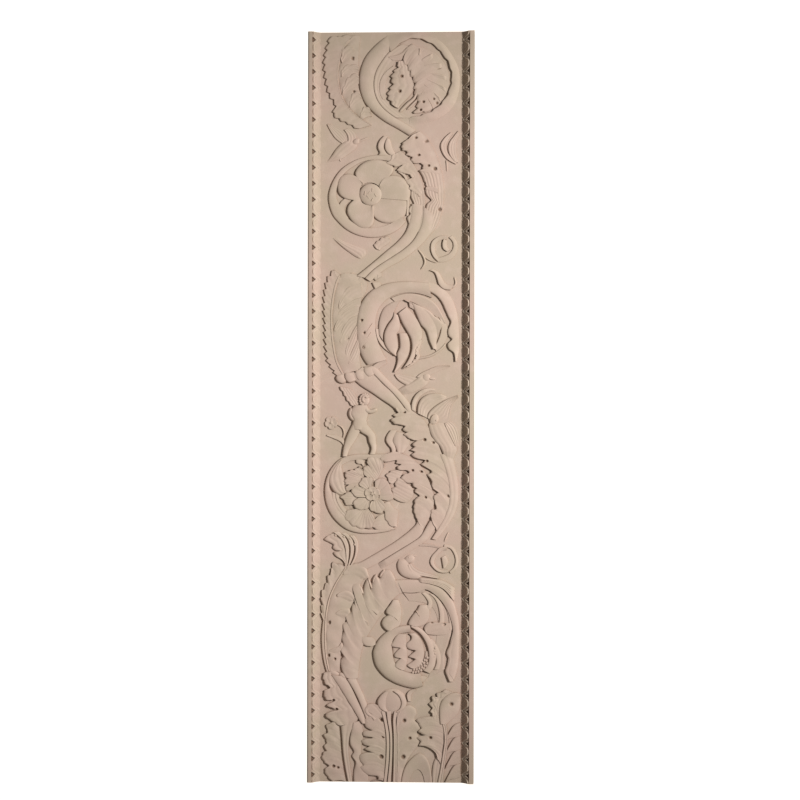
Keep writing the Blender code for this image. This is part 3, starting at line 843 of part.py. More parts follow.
def scroll_two(bm):
    # the broad flat ring
    flap(bm,
         [(22, 806), (-30, 808), (-80, 802), (-125, 786), (-162, 760), (-188, 722), (-201, 680),
          (-199, 648), (-188, 615), (-168, 590), (-140, 566), (-104, 549), (-60, 542), (-15, 549),
          (20, 566), (46, 592)],
         [(10, 784), (-50, 792), (-90, 786), (-126, 768), (-152, 746), (-168, 722), (-176, 690),
          (-174, 664), (-160, 640), (-150, 620), (-134, 600), (-104, 580), (-60, 572), (-20, 580),
          (10, 594), (30, 612)], rise=(9, 8), swell=2, cols=18)
    # five petals round the button
    petals = (([(-110, 738), (-140, 747), (-163, 738), (-173, 712), (-169, 684), (-150, 668),
                (-122, 662)],
               [(-90, 714), (-95, 710), (-99, 702), (-101, 692), (-101, 682), (-100, 672), (-96, 664)]),
              ([(-90, 722), (-113, 738), (-116, 752), (-105, 770), (-84, 785), (-50, 793), (-12, 783),
                (8, 764), (0, 744), (-22, 734), (-34, 716)],
               [(-92, 710), (-88, 714), (-82, 716), (-76, 718), (-70, 718), (-62, 718), (-54, 716),
                (-48, 713), (-42, 709), (-38, 705), (-35, 700)]),
              ([(-122, 662), (-139, 644), (-142, 622), (-132, 602), (-118, 586), (-98, 573), (-74, 572),
                (-58, 586), (-55, 610), (-60, 640)],
               [(-98, 664), (-94, 656), (-90, 652), (-86, 650), (-82, 648), (-78, 647), (-74, 646),
                (-70, 645), (-66, 645), (-62, 645)]),
              ([(-60, 640), (-58, 614), (-44, 598), (-18, 589), (14, 592), (40, 608), (54, 640),
                (50, 664)],
               [(-60, 646), (-56, 647), (-50, 650), (-44, 653), (-40, 657), (-37, 662), (-35, 667),
                (-33, 672)]),
              ([(-36, 712), (-24, 733), (0, 742), (28, 738), (50, 722), (62, 690), (56, 660)],
               [(-38, 704), (-35, 698), (-33, 692), (-32, 686), (-32, 680), (-33, 674), (-34, 668)]))
    for (edge, root), rise in zip(petals, (14, 14, 14, 11, 15)):
        flap(bm, edge, root, rise=(rise, rise - 5), swell=2.5, cols=16, step=3)
    flap(bm, [(-150, 668), (-164, 655), (-168, 640), (-158, 622), (-146, 606)],
         [(-128, 662), (-142, 650), (-150, 636), (-146, 620), (-136, 604)], rise=(9, 6))
    for x, z in ((-90, 720), (-34, 714), (-108, 667)):
        blob(bm, x, z, 12, 9, 40, rise=5, lift=4, segments=8, rings=6)
    # the button
    blob(bm, -66, 680, 72, 70, 0, rise=11, lift=8, segments=24, rings=13)
    for x, z, turn in ((-84, 684, 80), (-70, 686, 50), (-74, 672, 130), (-60, 694, 85), (-50, 678, 125),
                       (-60, 664, 60)):
        reach_x, reach_z = 7 * math.cos(math.radians(turn)), 7 * math.sin(math.radians(turn))
        stem(bm, [(x - reach_x, z - reach_z, 2, 3), (x + reach_x, z + reach_z, 2, 3)], cols=5, lift=17.5)
    # the pod above the ring
    flap(bm, [(-24, 868), (-40, 850), (-44, 830), (-38, 814), (-44, 806)],
         [(-10, 866), (-20, 850), (-24, 830), (-16, 814), (-6, 806)], rise=(12, 8), swell=1.5)
    flap(bm, [(-14, 862), (-21, 845), (-21, 826), (-12, 812), (4, 802)],
         [(-4, 856), (0, 842), (4, 828), (10, 816), (18, 806)], rise=(11, 3), swell=3)
    # the toothed leaf over the ring, and its lower half
    flap(bm,
         [(2, 806), (-4, 788), (-19, 780), (6, 772), (16, 768), (36, 775), (19, 758), (38, 748),
          (58, 743), (65, 733), (46, 724), (52, 714), (61, 706), (56, 700), (74, 686), (92, 672)],
         [(30, 818), (46, 806), (60, 792), (72, 775), (84, 754), (92, 734), (100, 712), (106, 690)],
         rise=(13, 9), lines=3, cut=0.7, teeth=22, tooth=3, step=2.2, folds=5, fold=0.8)
    flap(bm,
         [(62, 690), (62, 672), (71, 648), (58, 640), (54, 626), (60, 618), (50, 606), (54, 590),
          (58, 572), (49, 553)], [(106, 690), (108, 664), (108, 636), (105, 610), (100, 586), (92, 562)],
         rise=(12, 10), lines=5, cut=1.1, cols=22, step=2.5)
    flap(bm, [(20, 752), (40, 736), (48, 712), (50, 680), (50, 640), (48, 612)],
         [(30, 756), (48, 740), (56, 712), (58, 680), (57, 640), (55, 612)], rise=(11, 8))
    # the great leaf at the right
    flap(bm,
         [(64, 868), (58, 860), (38, 846), (34, 832), (36, 822), (52, 817), (48, 807), (66, 799),
          (64, 788), (76, 779), (92, 782), (102, 767), (88, 754)],
         [(92, 882), (112, 864), (127, 840), (140, 815), (150, 790), (157, 765), (162, 745)],
         rise=(14, 6), swell=1.5, lines=2, cut=0.6, teeth=14, tooth=4, step=2.2, cols=22, folds=4,
         fold=1.0, eyes=((79, 861, 4), (113, 850, 5), (88, 806, 4), (120, 772, 4), (140, 762, 6)))
    flap(bm,
         [(88, 756), (100, 735), (107, 712), (112, 704), (108, 692), (113, 677), (127, 662), (114, 650),
          (108, 626), (98, 604), (106, 590), (92, 578), (96, 562)],
         [(162, 748), (166, 715), (168, 680), (165, 645), (158, 612), (146, 580), (132, 560), (118, 545)],
         rise=(12, 6), swell=2, lines=6, cut=1.2, cols=30, step=2.5, eyes=((155, 632, 6), (106, 716, 4)))
    flap(bm, [(112, 704), (130, 706), (150, 700)], [(110, 696), (128, 692), (150, 684)], rise=(14, 12))


def small_middle(bm):
    # insect at the left
    flap(bm, [(-188, 541), (-170, 524), (-152, 508), (-136, 496), (-114, 481), (-98, 474)],
         [(-172, 544), (-150, 530), (-120, 519), (-94, 510), (-80, 500), (-84, 484)], rise=(6, 3),
         swell=3, lines=3, cut=0.8, taper=(0.2, 0.1), cols=18)
    # lobed bud
    flap(bm, [(-50, 508), (-54, 521), (-42, 532), (-26, 543), (-8, 545)],
         [(-36, 502), (-32, 508), (-24, 514), (-12, 521), (-2, 532)], rise=(8, 4), swell=2, teeth=4,
         tooth=4, lines=2)
    # spiral tendril at the right
    flap(bm, [(150, 465), (134, 482), (126, 508), (131, 530), (152, 546), (180, 547)],
         [(158, 474), (146, 486), (140, 506), (143, 522), (158, 534), (178, 536)], rise=(10, 5), cols=10)
    flap(bm, [(148, 478), (168, 483), (186, 492), (197, 508), (197, 526), (184, 542)],
         [(148, 464), (176, 466), (200, 480), (212, 504), (211, 526), (196, 548)], rise=(7, 4), swell=1,
         cols=10)
    flap(bm, [(167, 538), (163, 521), (166, 506), (178, 497)],
         [(179, 532), (178, 518), (182, 508), (190, 504)], rise=(11, 5), swell=1)
    stem(bm, [(85, 505, 2, 5), (103, 482, 4, 9), (108, 462, 4, 9), (94, 439, 2, 5)], cols=7)
    stem(bm, [(96, 492, 2, 4), (120, 472, 3, 7), (150, 462, 3, 7)], cols=7)
    # small cup
    flap(bm, [(122, 437), (138, 430), (146, 412), (152, 392), (166, 378), (190, 374)],
         [(134, 441), (152, 431), (162, 414), (170, 400), (182, 391), (200, 390)], rise=(11, 5), swell=2)
    stem(bm, [(190, 380, 3, 6), (206, 393, 4, 8), (201, 418, 2, 5)], cols=7)


def bird_left(bm):
    # wing spread to the left, then the one behind the head
    flap(bm, [(-206, 905), (-194, 880), (-178, 858), (-162, 846), (-150, 838)],
         [(-200, 908), (-176, 899), (-156, 888), (-142, 870), (-140, 850)], rise=(7, 3), lines=5, cut=0.8,
         cols=24)
    flap(bm, [(-150, 838), (-140, 853), (-142, 870), (-152, 887)],
         [(-112, 850), (-112, 868), (-120, 882), (-138, 893)], rise=(9, 3), lines=3, cut=0.8, cols=20)
    # body and tail, head and beak
    flap(bm, [(-136, 856), (-160, 844), (-178, 826), (-190, 808), (-206, 786)],
         [(-106, 848), (-114, 828), (-138, 810), (-160, 795), (-182, 788)], rise=(9, 4), swell=4, lines=3,
         cut=0.6, cols=20, taper=(0.15, 0.3))
    blob(bm, -113, 850, 26, 20, 30, rise=10)
    blade(bm, (-104, 850), (-72, 864), 7, 6)
    stem(bm, [(-166, 798, 3, 5), (-162, 786, 2, 4)], cols=5)


def bird_hanging(bm):
    flap(bm, [(190, 878), (170, 861), (157, 839), (161, 817), (176, 794), (206, 776)],
         [(197, 874), (184, 857), (176, 836), (181, 813), (194, 795), (209, 782)], rise=(10, 5), lines=2,
         cut=0.6, cols=16)
    flap(bm, [(213, 883), (198, 864), (186, 848), (181, 830), (185, 808), (202, 786)],
         [(219, 872), (209, 852), (207, 832), (209, 812), (212, 795), (214, 781)], rise=(9, 4), lines=3,
         cut=0.8, cols=18)
    stem(bm, [(176, 792, 3, 6), (178, 772, 3, 5), (178, 752, 2, 4)], cols=5)


def scroll_one(bm):
    # the leaf at the left: its outer side, its inner lobes and its midrib
    rib = [(-132, 1180), (-158, 1142), (-170, 1095), (-172, 1045), (-162, 1002), (-145, 968), (-120, 940),
           (-92, 918), (-64, 902)]
    flap(bm,
         [(-196, 1188), (-208, 1150), (-216, 1108), (-214, 1066), (-208, 1030), (-198, 998), (-180, 968),
          (-186, 938), (-166, 920), (-140, 908), (-108, 890)], rib, rise=(9, 10), teeth=15, tooth=9,
         folds=15, fold=0.8, veins=15, vein=0.4, cols=18, step=2.5)
    flap(bm, [(-184, 1172), (-164, 1188), (-128, 1190), (-104, 1182)],
         [(-160, 1150), (-150, 1156), (-130, 1160), (-104, 1160)], rise=(8, 5), teeth=3)
    flap(bm, rib[:8],
         [(-100, 1186), (-104, 1150), (-106, 1110), (-106, 1070), (-106, 1030), (-98, 1000), (-84, 966),
          (-62, 930)], rise=(8, 6), swell=2, folds=5, fold=2.0, veins=10, vein=0.6, bend=-0.3, cols=20,
         eyes=((-124, 1116, 5), (-128, 1090, 4), (-120, 1010, 3)))
    lobes = (((-158, 1100), (-162, 1120), (-152, 1150), (-128, 1158), (-116, 1132), (-130, 1120)),
             ((-160, 1056), (-156, 1086), (-136, 1096), (-104, 1092), (-106, 1070), (-130, 1070)),
             ((-158, 1000), (-146, 1044), (-124, 1066), (-104, 1062), (-104, 1036), (-124, 1020)),
             ((-134, 958), (-128, 996), (-112, 1012), (-98, 1002), (-94, 980), (-108, 968)),
             ((-100, 926), (-92, 954), (-80, 962), (-66, 950), (-66, 934), (-78, 930)))
    for root, low, bend, tip, back, hollow in lobes:
        flap(bm, [root, low, bend, tip], [root, hollow, back], rise=(12, 7), swell=1.5, teeth=3, tooth=5,
             lines=3, cut=0.9, cols=16)
    stem(bm, [(x, z, 4.5 - 0.3 * i, 12) for i, (x, z) in enumerate(rib)], cols=9, flutes=2, cut=2.0)
    # the stem that grows into the bell, and the bell's inner wall
    outer = [(-12, 1190), (-56, 1154), (-84, 1120), (-100, 1080), (-104, 1040), (-99, 1005), (-86, 974),
             (-60, 944), (-22, 914), (20, 890), (56, 868)]
    inner = [(30, 1160), (-8, 1136), (-32, 1106), (-50, 1074), (-57, 1040), (-54, 1005), (-42, 976),
             (-20, 950), (12, 926), (50, 903), (78, 884)]
    flap(bm, outer, inner, rise=(9, 7), swell=6, taper=(0.08, 0))
    flap(bm, inner[:9],
         [(70, 1150), (30, 1128), (8, 1100), (-14, 1066), (-26, 1036), (-24, 1002), (-10, 976), (16, 954),
          (60, 925)], rise=(10, 1.5), swell=-1, lines=3)
    flap(bm, [(6, 1092), (-22, 1070), (-38, 1040), (-38, 1004), (-28, 985)],
         [(12, 1085), (-8, 1062), (-18, 1036), (-18, 1008), (-18, 985)], rise=(6, 3))
    # the mouth of the bell
    flap(bm,
         [(-2, 1134), (30, 1164), (62, 1178), (95, 1176), (140, 1154), (163, 1128), (183, 1100),
          (194, 1056), (187, 1018), (178, 996), (158, 968), (132, 948), (96, 934), (56, 926)],
         [(-12, 1188), (34, 1197), (78, 1198), (112, 1190), (160, 1168), (196, 1122), (214, 1084),
          (219, 1045), (216, 1010), (204, 972), (180, 942), (144, 920), (98, 908), (60, 904)],
         rise=(13, 1), swell=4, teeth=13, tooth=4, cols=16, taper=(0, 0.12))
    # the leaves inside it
    flap(bm, [(-12, 1122), (30, 1132), (50, 1152), (66, 1162)],
         [(6, 1108), (40, 1112), (70, 1125), (92, 1144)], rise=(9, 4), lines=2)
    fan = [(62, 1156), (96, 1150), (138, 1132), (168, 1100), (184, 1058), (182, 1020), (166, 984),
           (140, 958), (106, 942)]
    flap(bm,
         [(36, 1106), (48, 1092), (58, 1072), (66, 1054), (74, 1036), (74, 1008), (84, 986), (82, 960),
          (70, 938)], fan, rise=(12, 5), swell=4, teeth=9, tooth=8, folds=4, fold=1.5, veins=11, vein=0.7,
         bend=-0.15, cols=30, step=2.5,
         eyes=((152, 1084, 4), (103, 976, 4), (102, 940, 5), (146, 972, 4), (136, 985, 3), (94, 950, 4)))
    for i in range(7):
        x, z = fan[i + 1]
        flap(bm, [(84, 1120 - 14 * i), ((84 + x) / 2 - 2, (1120 - 14 * i + z) / 2 + 2), (x - 6, z)],
             [(88, 1108 - 14 * i), ((88 + x) / 2 + 6, (1108 - 14 * i + z) / 2 - 12), (x - 2, z - 14)],
             rise=(14, 8), swell=1, lines=2, cut=0.8, cols=12, taper=(0.3, 0.1))
    flap(bm,
         [(18, 1104), (22, 1090), (8, 1074), (0, 1050), (4, 1034), (-8, 1010), (-11, 990), (-2, 976),
          (8, 962)],
         [(40, 1108), (56, 1080), (66, 1050), (72, 1030), (66, 1006), (54, 990), (40, 976), (30, 966),
          (22, 956)], rise=(13, 8), swell=3, teeth=8, tooth=8, lines=3, cut=0.8, cols=24,
         eyes=((33, 1058, 5), (27, 1010, 5)))
    stem(bm, [(84, 1020, 3, 10), (74, 990, 5, 12), (50, 968, 6, 12), (24, 942, 4, 8)])
    stem(bm, [(108, 1024, 2.5, 12), (96, 998, 4, 13), (72, 972, 4, 11), (48, 950, 3, 7)])


def carving():
    """All the carved forms of the field in one mesh of overlapping shells."""
    bm = bmesh.new()
    for carve in (scroll_one, bird_left, bird_hanging, scroll_two, small_middle, stems_upper, scroll_three,
                  bird_middle, stalks_middle, flower_left, putto, bird_right, scroll_four, tendrils_low,
                  scroll_five, base):
        form = bmesh.new()
        carve(form)
        mesh = bpy.data.meshes.new(carve.__name__)
        form.to_mesh(mesh)
        form.free()
        bm.from_mesh(mesh)
        bpy.data.meshes.remove(mesh)
    return bm


def draped_field():
    """A fine grid laid over the carving from in front, as a mesh, and its rises in rows from the bottom up."""
    forms = carving()
    tree = BVHTree.FromBMesh(forms)
    forms.free()
    columns = round(field_width / DRAPE_SPACING)
    rows = round(PANEL_HEIGHT / DRAPE_SPACING)
    bm = bmesh.new()
    verts = bmesh.ops.create_grid(bm, x_segments=columns, y_segments=rows, size=1.0)["verts"]
    verts.sort(key=lambda v: (v.co.y, v.co.x))
    inward = Vector((0, 1, 0))
    in_front = -2 * (GROUND_DEPTH + FRAME_RISE)
    rises = []
    for v in verts:
        x, z = v.co.x * field_width / 2, v.co.y * half_height
        seen_z = max(min(z, half_height - EDGE_GAP), EDGE_GAP - half_height)
        hit = tree.ray_cast(Vector((x, in_front, seen_z)), inward)[0]
        rise = 0.0 if hit is None else max(0.0, -hit.y - GROUND_DEPTH)
        v.co = (x, -GROUND_DEPTH - rise, z)
        rises.append(rise)
    mesh = bpy.data.meshes.new("draped_field")
    bm.to_mesh(mesh)
    bm.free()
    return mesh, np.array(rises).reshape(rows + 1, columns + 1)


def fewer_facets(draped, helpers):
    """The draped grid with its flat places thinned out."""
    helper = bpy.data.objects.new("draped_field", draped)
    helpers.objects.link(helper)
    helper.hide_render = True
    helper.display_type = "WIRE"
    facets = helper.modifiers.new("facets", "DECIMATE")
    facets.ratio = min(1.0, FIELD_TRIANGLES / (2 * len(draped.polygons)))
    return bpy.data.meshes.new_from_object(helper.evaluated_get(bpy.context.evaluated_depsgraph_get()))


def rise_at(rises, x, z):
    """The carving's rise at the nearest crossing of the grid."""
    rows, columns = rises.shape
    column = round((x / field_width + 0.5) * (columns - 1))
    row = round((z / PANEL_HEIGHT + 0.5) * (rows - 1))
    return float(rises[min(max(row, 0), rows - 1), min(max(column, 0), columns - 1)])


def kyma(across, along):
    """The leaf-and-dart carving of one repeat: across from the fillet to the field, along from -0.5 to 0.5."""
    if across in (0.0, 1.0):
        return 0.0
    leaf = max(0.0, 1 - (along / LEAF_REACH) ** 2 - ((across - 0.5) / 0.5) ** 2)
    gap = abs(2 * along) ** GAP_SHARPNESS * math.sin(math.pi * across)
    return KYMA_RELIEF * (math.sqrt(leaf) - gap)


class Plan:
    """The front seen from in front: points with their rises above the ground, and the lines that join them."""

    def __init__(self):
        self.points, self.rises, self.lines = [], [], []

    def add(self, x, z, rise):
        self.points.append((x, z))
        self.rises.append(rise)
        return len(self.points) - 1

    def join(self, row):
        self.lines += list(zip(row, row[1:]))


def plan_side(plan, side):
    """One long side of the frame: a plain fillet, then the carved moulding that falls to the ground."""
    arris, inner = PANEL_WIDTH / 2 - FILLET_WIDTH, field_width / 2
    repeats = round(PANEL_HEIGHT / KYMA_PITCH)
    pitch = PANEL_HEIGHT / repeats
    places = [((k + beat + 0.5) * pitch - half_height, beat)
              for k in range(repeats) for beat in MOULDING_BEATS]
    places.append((half_height, MOULDING_BEATS[0]))
    for across in MOULDING_STATIONS:
        x = arris + (inner - arris) * across
        ogee = FRAME_RISE * (0.5 + 0.5 * math.cos(math.pi * across))
        plan.join([plan.add(side * x, z, ogee + kyma(across, along)) for z, along in places])
    edge_z = [z for z, along in places[:-FILLET_STRIDE:FILLET_STRIDE]] + [half_height]
    plan.join([plan.add(side * PANEL_WIDTH / 2, z, FRAME_RISE) for z in edge_z])


def plan_field(plan, thinned, rises):
    """The carved field: the thinned grid's points and lines, and the cut profiles along the panel's two ends."""
    kept = {}
    for v in thinned.vertices:
        if abs(v.co.x) < field_width / 2 - EDGE_GAP and abs(v.co.z) < half_height - EDGE_GAP:
            kept[v.index] = plan.add(v.co.x, v.co.z, max(0.0, -v.co.y - GROUND_DEPTH))
    for e in thinned.edges:
        if all(i in kept for i in e.vertices):
            plan.lines.append(tuple(kept[i] for i in e.vertices))
    pieces = round(field_width / EDGE_SPACING)
    for z in (-half_height, half_height):
        for k in range(1, pieces):
            x = field_width * (k / pieces - 0.5)
            plan.add(x, z, rise_at(rises, x, z))


def front_and_back(plan, rises):
    """A closed body: the front on the plan's triangles, upright walls round it, and a flat back in Y = 0."""
    flat = [Vector(point) for point in plan.points]
    places, edges, faces, origins = delaunay_2d_cdt(flat, plan.lines, [], 0, WELD)[:4]
    bm = bmesh.new()
    front = []
    for place_2d, origin in zip(places, origins):
        x, z = place_2d
        rise = plan.rises[origin[0]] if origin else rise_at(rises, x, z)
        front.append(bm.verts.new((x, -GROUND_DEPTH - rise, z)))
    for face in faces:
        bm.faces.new([front[i] for i in face])
    rim = [e for e in bm.edges if e.is_boundary]
    grown = bmesh.ops.extrude_edge_only(bm, edges=rim)["geom"]
    behind = [part for part in grown if isinstance(part, bmesh.types.BMVert)]
    for v in behind:
        v.co.y = 0.0
    back = delaunay_2d_cdt([Vector((v.co.x, v.co.z)) for v in behind], [], [], 0, WELD)
    for face in back[2]:
        bm.faces.new([behind[back[3][i][0]] for i in face])
    bmesh.ops.recalc_face_normals(bm, faces=bm.faces)
    bmesh.ops.triangulate(bm, faces=bm.faces)
    mesh = bpy.data.meshes.new("relief_panel")
    bm.to_mesh(mesh)
    bm.free()
    return mesh


def plaster():
    material = bpy.data.materials.new("plaster")
    material.use_nodes = True
    shader = material.node_tree.nodes["Principled BSDF"]
    shader.inputs["Base Color"].default_value = (0.60, 0.46, 0.36, 1)
    shader.inputs["Roughness"].default_value = 0.85
    shader.inputs["Metallic"].default_value = 0.0
    return material


def collection(name):
    made = bpy.data.collections.new(name)
    bpy.context.scene.collection.children.link(made)
    return made


def build():
    for obj in list(bpy.data.objects):
        bpy.data.objects.remove(obj)
    parts, helpers = collection("wall_relief"), collection("helpers")
    helpers.hide_render = True
    draped, rises = draped_field()
    plan = Plan()
    for side in (-1, 1):
        plan_side(plan, side)
    plan_field(plan, fewer_facets(draped, helpers), rises)
    mesh = front_and_back(plan, rises)
    mesh.materials.append(plaster())
    parts.objects.link(bpy.data.objects.new("relief_panel", mesh))


build()
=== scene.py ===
"""Wall relief: the plaster surface, its carved ornament, the light and the camera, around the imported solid.

The panel's back is in the plane Y = 0 and its front faces -Y. Every carved form is a closed shell that
rises out of the ground, drawn in millimetres: x across, z up, h above the ground.
"""

import math

import bmesh
import bpy
import numpy as np
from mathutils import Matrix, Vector


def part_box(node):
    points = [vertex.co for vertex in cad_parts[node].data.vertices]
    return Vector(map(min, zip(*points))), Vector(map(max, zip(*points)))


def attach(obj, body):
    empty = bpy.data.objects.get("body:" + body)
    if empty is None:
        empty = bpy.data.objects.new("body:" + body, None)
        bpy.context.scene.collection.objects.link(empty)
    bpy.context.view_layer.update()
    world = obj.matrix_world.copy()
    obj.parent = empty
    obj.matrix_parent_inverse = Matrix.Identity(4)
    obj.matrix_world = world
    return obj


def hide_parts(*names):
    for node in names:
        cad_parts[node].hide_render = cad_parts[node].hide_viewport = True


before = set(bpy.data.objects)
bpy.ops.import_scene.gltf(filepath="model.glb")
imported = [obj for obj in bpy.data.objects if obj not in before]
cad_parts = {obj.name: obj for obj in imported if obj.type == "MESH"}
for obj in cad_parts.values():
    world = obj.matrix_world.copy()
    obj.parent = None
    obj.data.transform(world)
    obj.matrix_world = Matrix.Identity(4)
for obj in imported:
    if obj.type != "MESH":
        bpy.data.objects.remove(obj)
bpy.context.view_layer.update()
low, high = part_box("relief_panel")

MM = 0.001
half_width = high.x / MM
half_height = high.z / MM
depth = -low.y / MM
FILLET_WIDTH = 14.0
MOULDING_WIDTH = 26.0
FRAME_RISE = 25.0
KYMA_PITCH = 51.0
LEFT_ARRIS = 5.0
RIGHT_ARRIS = 1.5
LEFT_CRISP = 0.8
SINK = 3.0
RISE = 0.58
LEAST_HEIGHT = 0.3
ground = depth - FRAME_RISE
field_half = half_width - FILLET_WIDTH - MOULDING_WIDTH
repeats = round(2 * half_height / KYMA_PITCH)

# a stem's rows are STEM_STEP millimetres apart, and its ends close over STEM_END of its half width
STEM_STEP = 5.0
STEM_END = 0.8
LEAST_END_WIDTH, LEAST_END_CROWN = 0.05, 0.15
LEAST_STEM_HEIGHT = 0.2
FLUTE_EDGE = 0.98

# a flap's marks: depths are in millimetres, and starts, ends and spans are shares of its width from its
# raised left edge. The widths of notches, lines and veins are shares of their spacing, a tooth's sides are
# shares of the tooth, and the widest tooth is a share of the flap's width
ROWS_A_TOOTH = 9
COLUMN_CROWDING = 1.3
LONG_SIDE, SHORT_SIDE, LONG_SIDE_POWER, WIDEST_TOOTH = 0.7, 0.3, 0.8, 0.45
LIP_DEPTH, LIP_END = 2.0, 0.06
ROUND_END, ROUND_FOOT, ROUND_GAIN = 0.22, 0.45, 0.55
NOTCH_DEPTH, NOTCH_WIDTH, NOTCH_END = 0.8, 0.12, 0.5
LINE_DEPTH, LINE_WIDTH, LINE_SPAN = 1.7, 0.2, (0.05, 0.97)
VEIN_WIDTH, VEIN_SPAN, VEIN_SWAY, VEIN_TURNS = 0.14, (0.1, 0.95), 0.03, 9
FOLD_SLANT, FOLD_FADE, TEETH_WITH_FOLDS, TEETH_TO_A_FOLD = 0.7, 0.7, 5, 3
# painted shade along a flap's raised left edge, where its shadow falls, stronger where the edge is toothed
EDGE_SHADE_END, TOOTHED_EDGE_SHADE, PLAIN_EDGE_SHADE = 0.08, 0.5, 0.2
DRILL_DEPTH, DRILL_SHARE = 13.0, 0.9
TAPER_FLOOR, TAPER_POWER = 0.04, 0.7


def smooth_line(points, count):
    """`count` rows on a smooth curve through the points, evenly spaced along it."""
    p = np.array(points, float)
    if len(p) == 2:
        t = np.linspace(0, 1, count)[:, None]
        return p[0] * (1 - t) + p[1] * t
    chord = np.linalg.norm(np.diff(p[:, :2], axis=0), axis=1) ** 0.5
    knots = np.concatenate([[0], np.cumsum(np.maximum(chord, 1e-6))])
    step = np.diff(knots)[:, None]
    secant = np.diff(p, axis=0) / step
    slopes = np.zeros_like(p)
    slopes[1:-1] = (secant[:-1] * step[1:] + secant[1:] * step[:-1]) / (step[1:] + step[:-1])
    slopes[0] = 1.5 * secant[0] - 0.5 * slopes[1]
    slopes[-1] = 1.5 * secant[-1] - 0.5 * slopes[-2]
    fine = np.linspace(0, knots[-1], 40 * len(p))
    i = np.clip(np.searchsorted(knots, fine, side="right") - 1, 0, len(p) - 2)
    h = step[i]
    s = ((fine - knots[i]) / h[:, 0])[:, None]
    curve = ((2 * s**3 - 3 * s**2 + 1) * p[i] + (s**3 - 2 * s**2 + s) * h * slopes[i]
             + (3 * s**2 - 2 * s**3) * p[i + 1] + (s**3 - s**2) * h * slopes[i + 1])
    length = np.concatenate([[0], np.cumsum(np.linalg.norm(np.diff(curve[:, :2], axis=0), axis=1))])
    want = np.linspace(0, length[-1], count)
    return np.stack([np.interp(want, length, curve[:, k]) for k in range(p.shape[1])], 1)


def reach(points):
    """The length of a line of points."""
    p = np.array(points, float)[:, :2]
    return float(np.linalg.norm(np.diff(p, axis=0), axis=1).sum())


def normals(line):
    """Unit normals to the left of a line."""
    t = np.gradient(line[:, :2], axis=0)
    t /= np.maximum(np.linalg.norm(t, axis=1), 1e-9)[:, None]
    return np.stack([-t[:, 1], t[:, 0]], 1)


def shell(bm, x, z, h, foot):
    """A closed shell with the given top surface and with sides down to foot; gives its vertices."""
    rows, cols = x.shape
    x, z, h = (np.pad(a, 1, mode="edge") for a in (x, z, h))
    h[0, :] = h[-1, :] = foot
    h[:, 0] = h[:, -1] = foot
    verts = bmesh.ops.create_grid(bm, x_segments=cols + 1, y_segments=rows + 1, size=1.0)["verts"]
    for v, a, b, c in zip(verts, x.ravel(), z.ravel(), h.ravel()):
        v.co = (a * MM, -(ground + c) * MM, b * MM)
    edges = {e for v in verts for e in v.link_edges if e.is_boundary}
    bmesh.ops.contextual_create(bm, geom=list(edges))
    return verts


def sheet(bm, x, z, h, painted_shade=0.0):
    """A carved surface, with sides down into the ground and its painted shade kept as an attribute."""
    layer = bm.verts.layers.float.get("painted_shade") or bm.verts.layers.float.new("painted_shade")
    verts = shell(bm, x, z, h * RISE, -SINK)
    for v, d in zip(verts, np.pad(painted_shade + 0 * x, 1, mode="edge").ravel()):
        v[layer] = d


def stem(bm, path, cols=9, flutes=0, cut=0.0, lift=0.0):
    """A rounded bar along a path of (x, z, half width, crown), with round ends."""
    length = reach(path)
    rows = max(8, int(length / STEM_STEP))
    line = smooth_line(path, rows)
    n = normals(line)
    s = np.linspace(0, length, rows)
    width, crown = line[:, 2].copy(), line[:, 3].copy()
    for away in (s, length - s):
        near = np.clip(away / max(1e-6, width.max() * STEM_END), 0, 1)
        close = np.sqrt(np.clip(1 - (1 - near) ** 2, 0, 1))
        width = width * np.maximum(close, LEAST_END_WIDTH)
        crown = crown * np.maximum(close, LEAST_END_CROWN)
    a = np.linspace(-math.pi / 2, math.pi / 2, cols)
    side, up = np.sin(a), np.cos(a)
    x = line[:, 0, None] + n[:, 0, None] * side * width[:, None]
    z = line[:, 1, None] + n[:, 1, None] * side * width[:, None]
    h = lift + crown[:, None] * up
    if flutes:
        groove = 0.5 - 0.5 * np.cos(math.pi * flutes * (side + 1))
        h = h - cut * (1 - groove) * up**0.3 * (np.abs(side) < FLUTE_EDGE)
    sheet(bm, x, z, np.maximum(h, LEAST_STEM_HEIGHT))


def groove_between(phase, wide):
    """1 along the whole numbers of phase and 0 away from them, in a narrow V."""
    f = phase % 1.0
    return np.exp(-((np.minimum(f, 1 - f) / wide) ** 2))


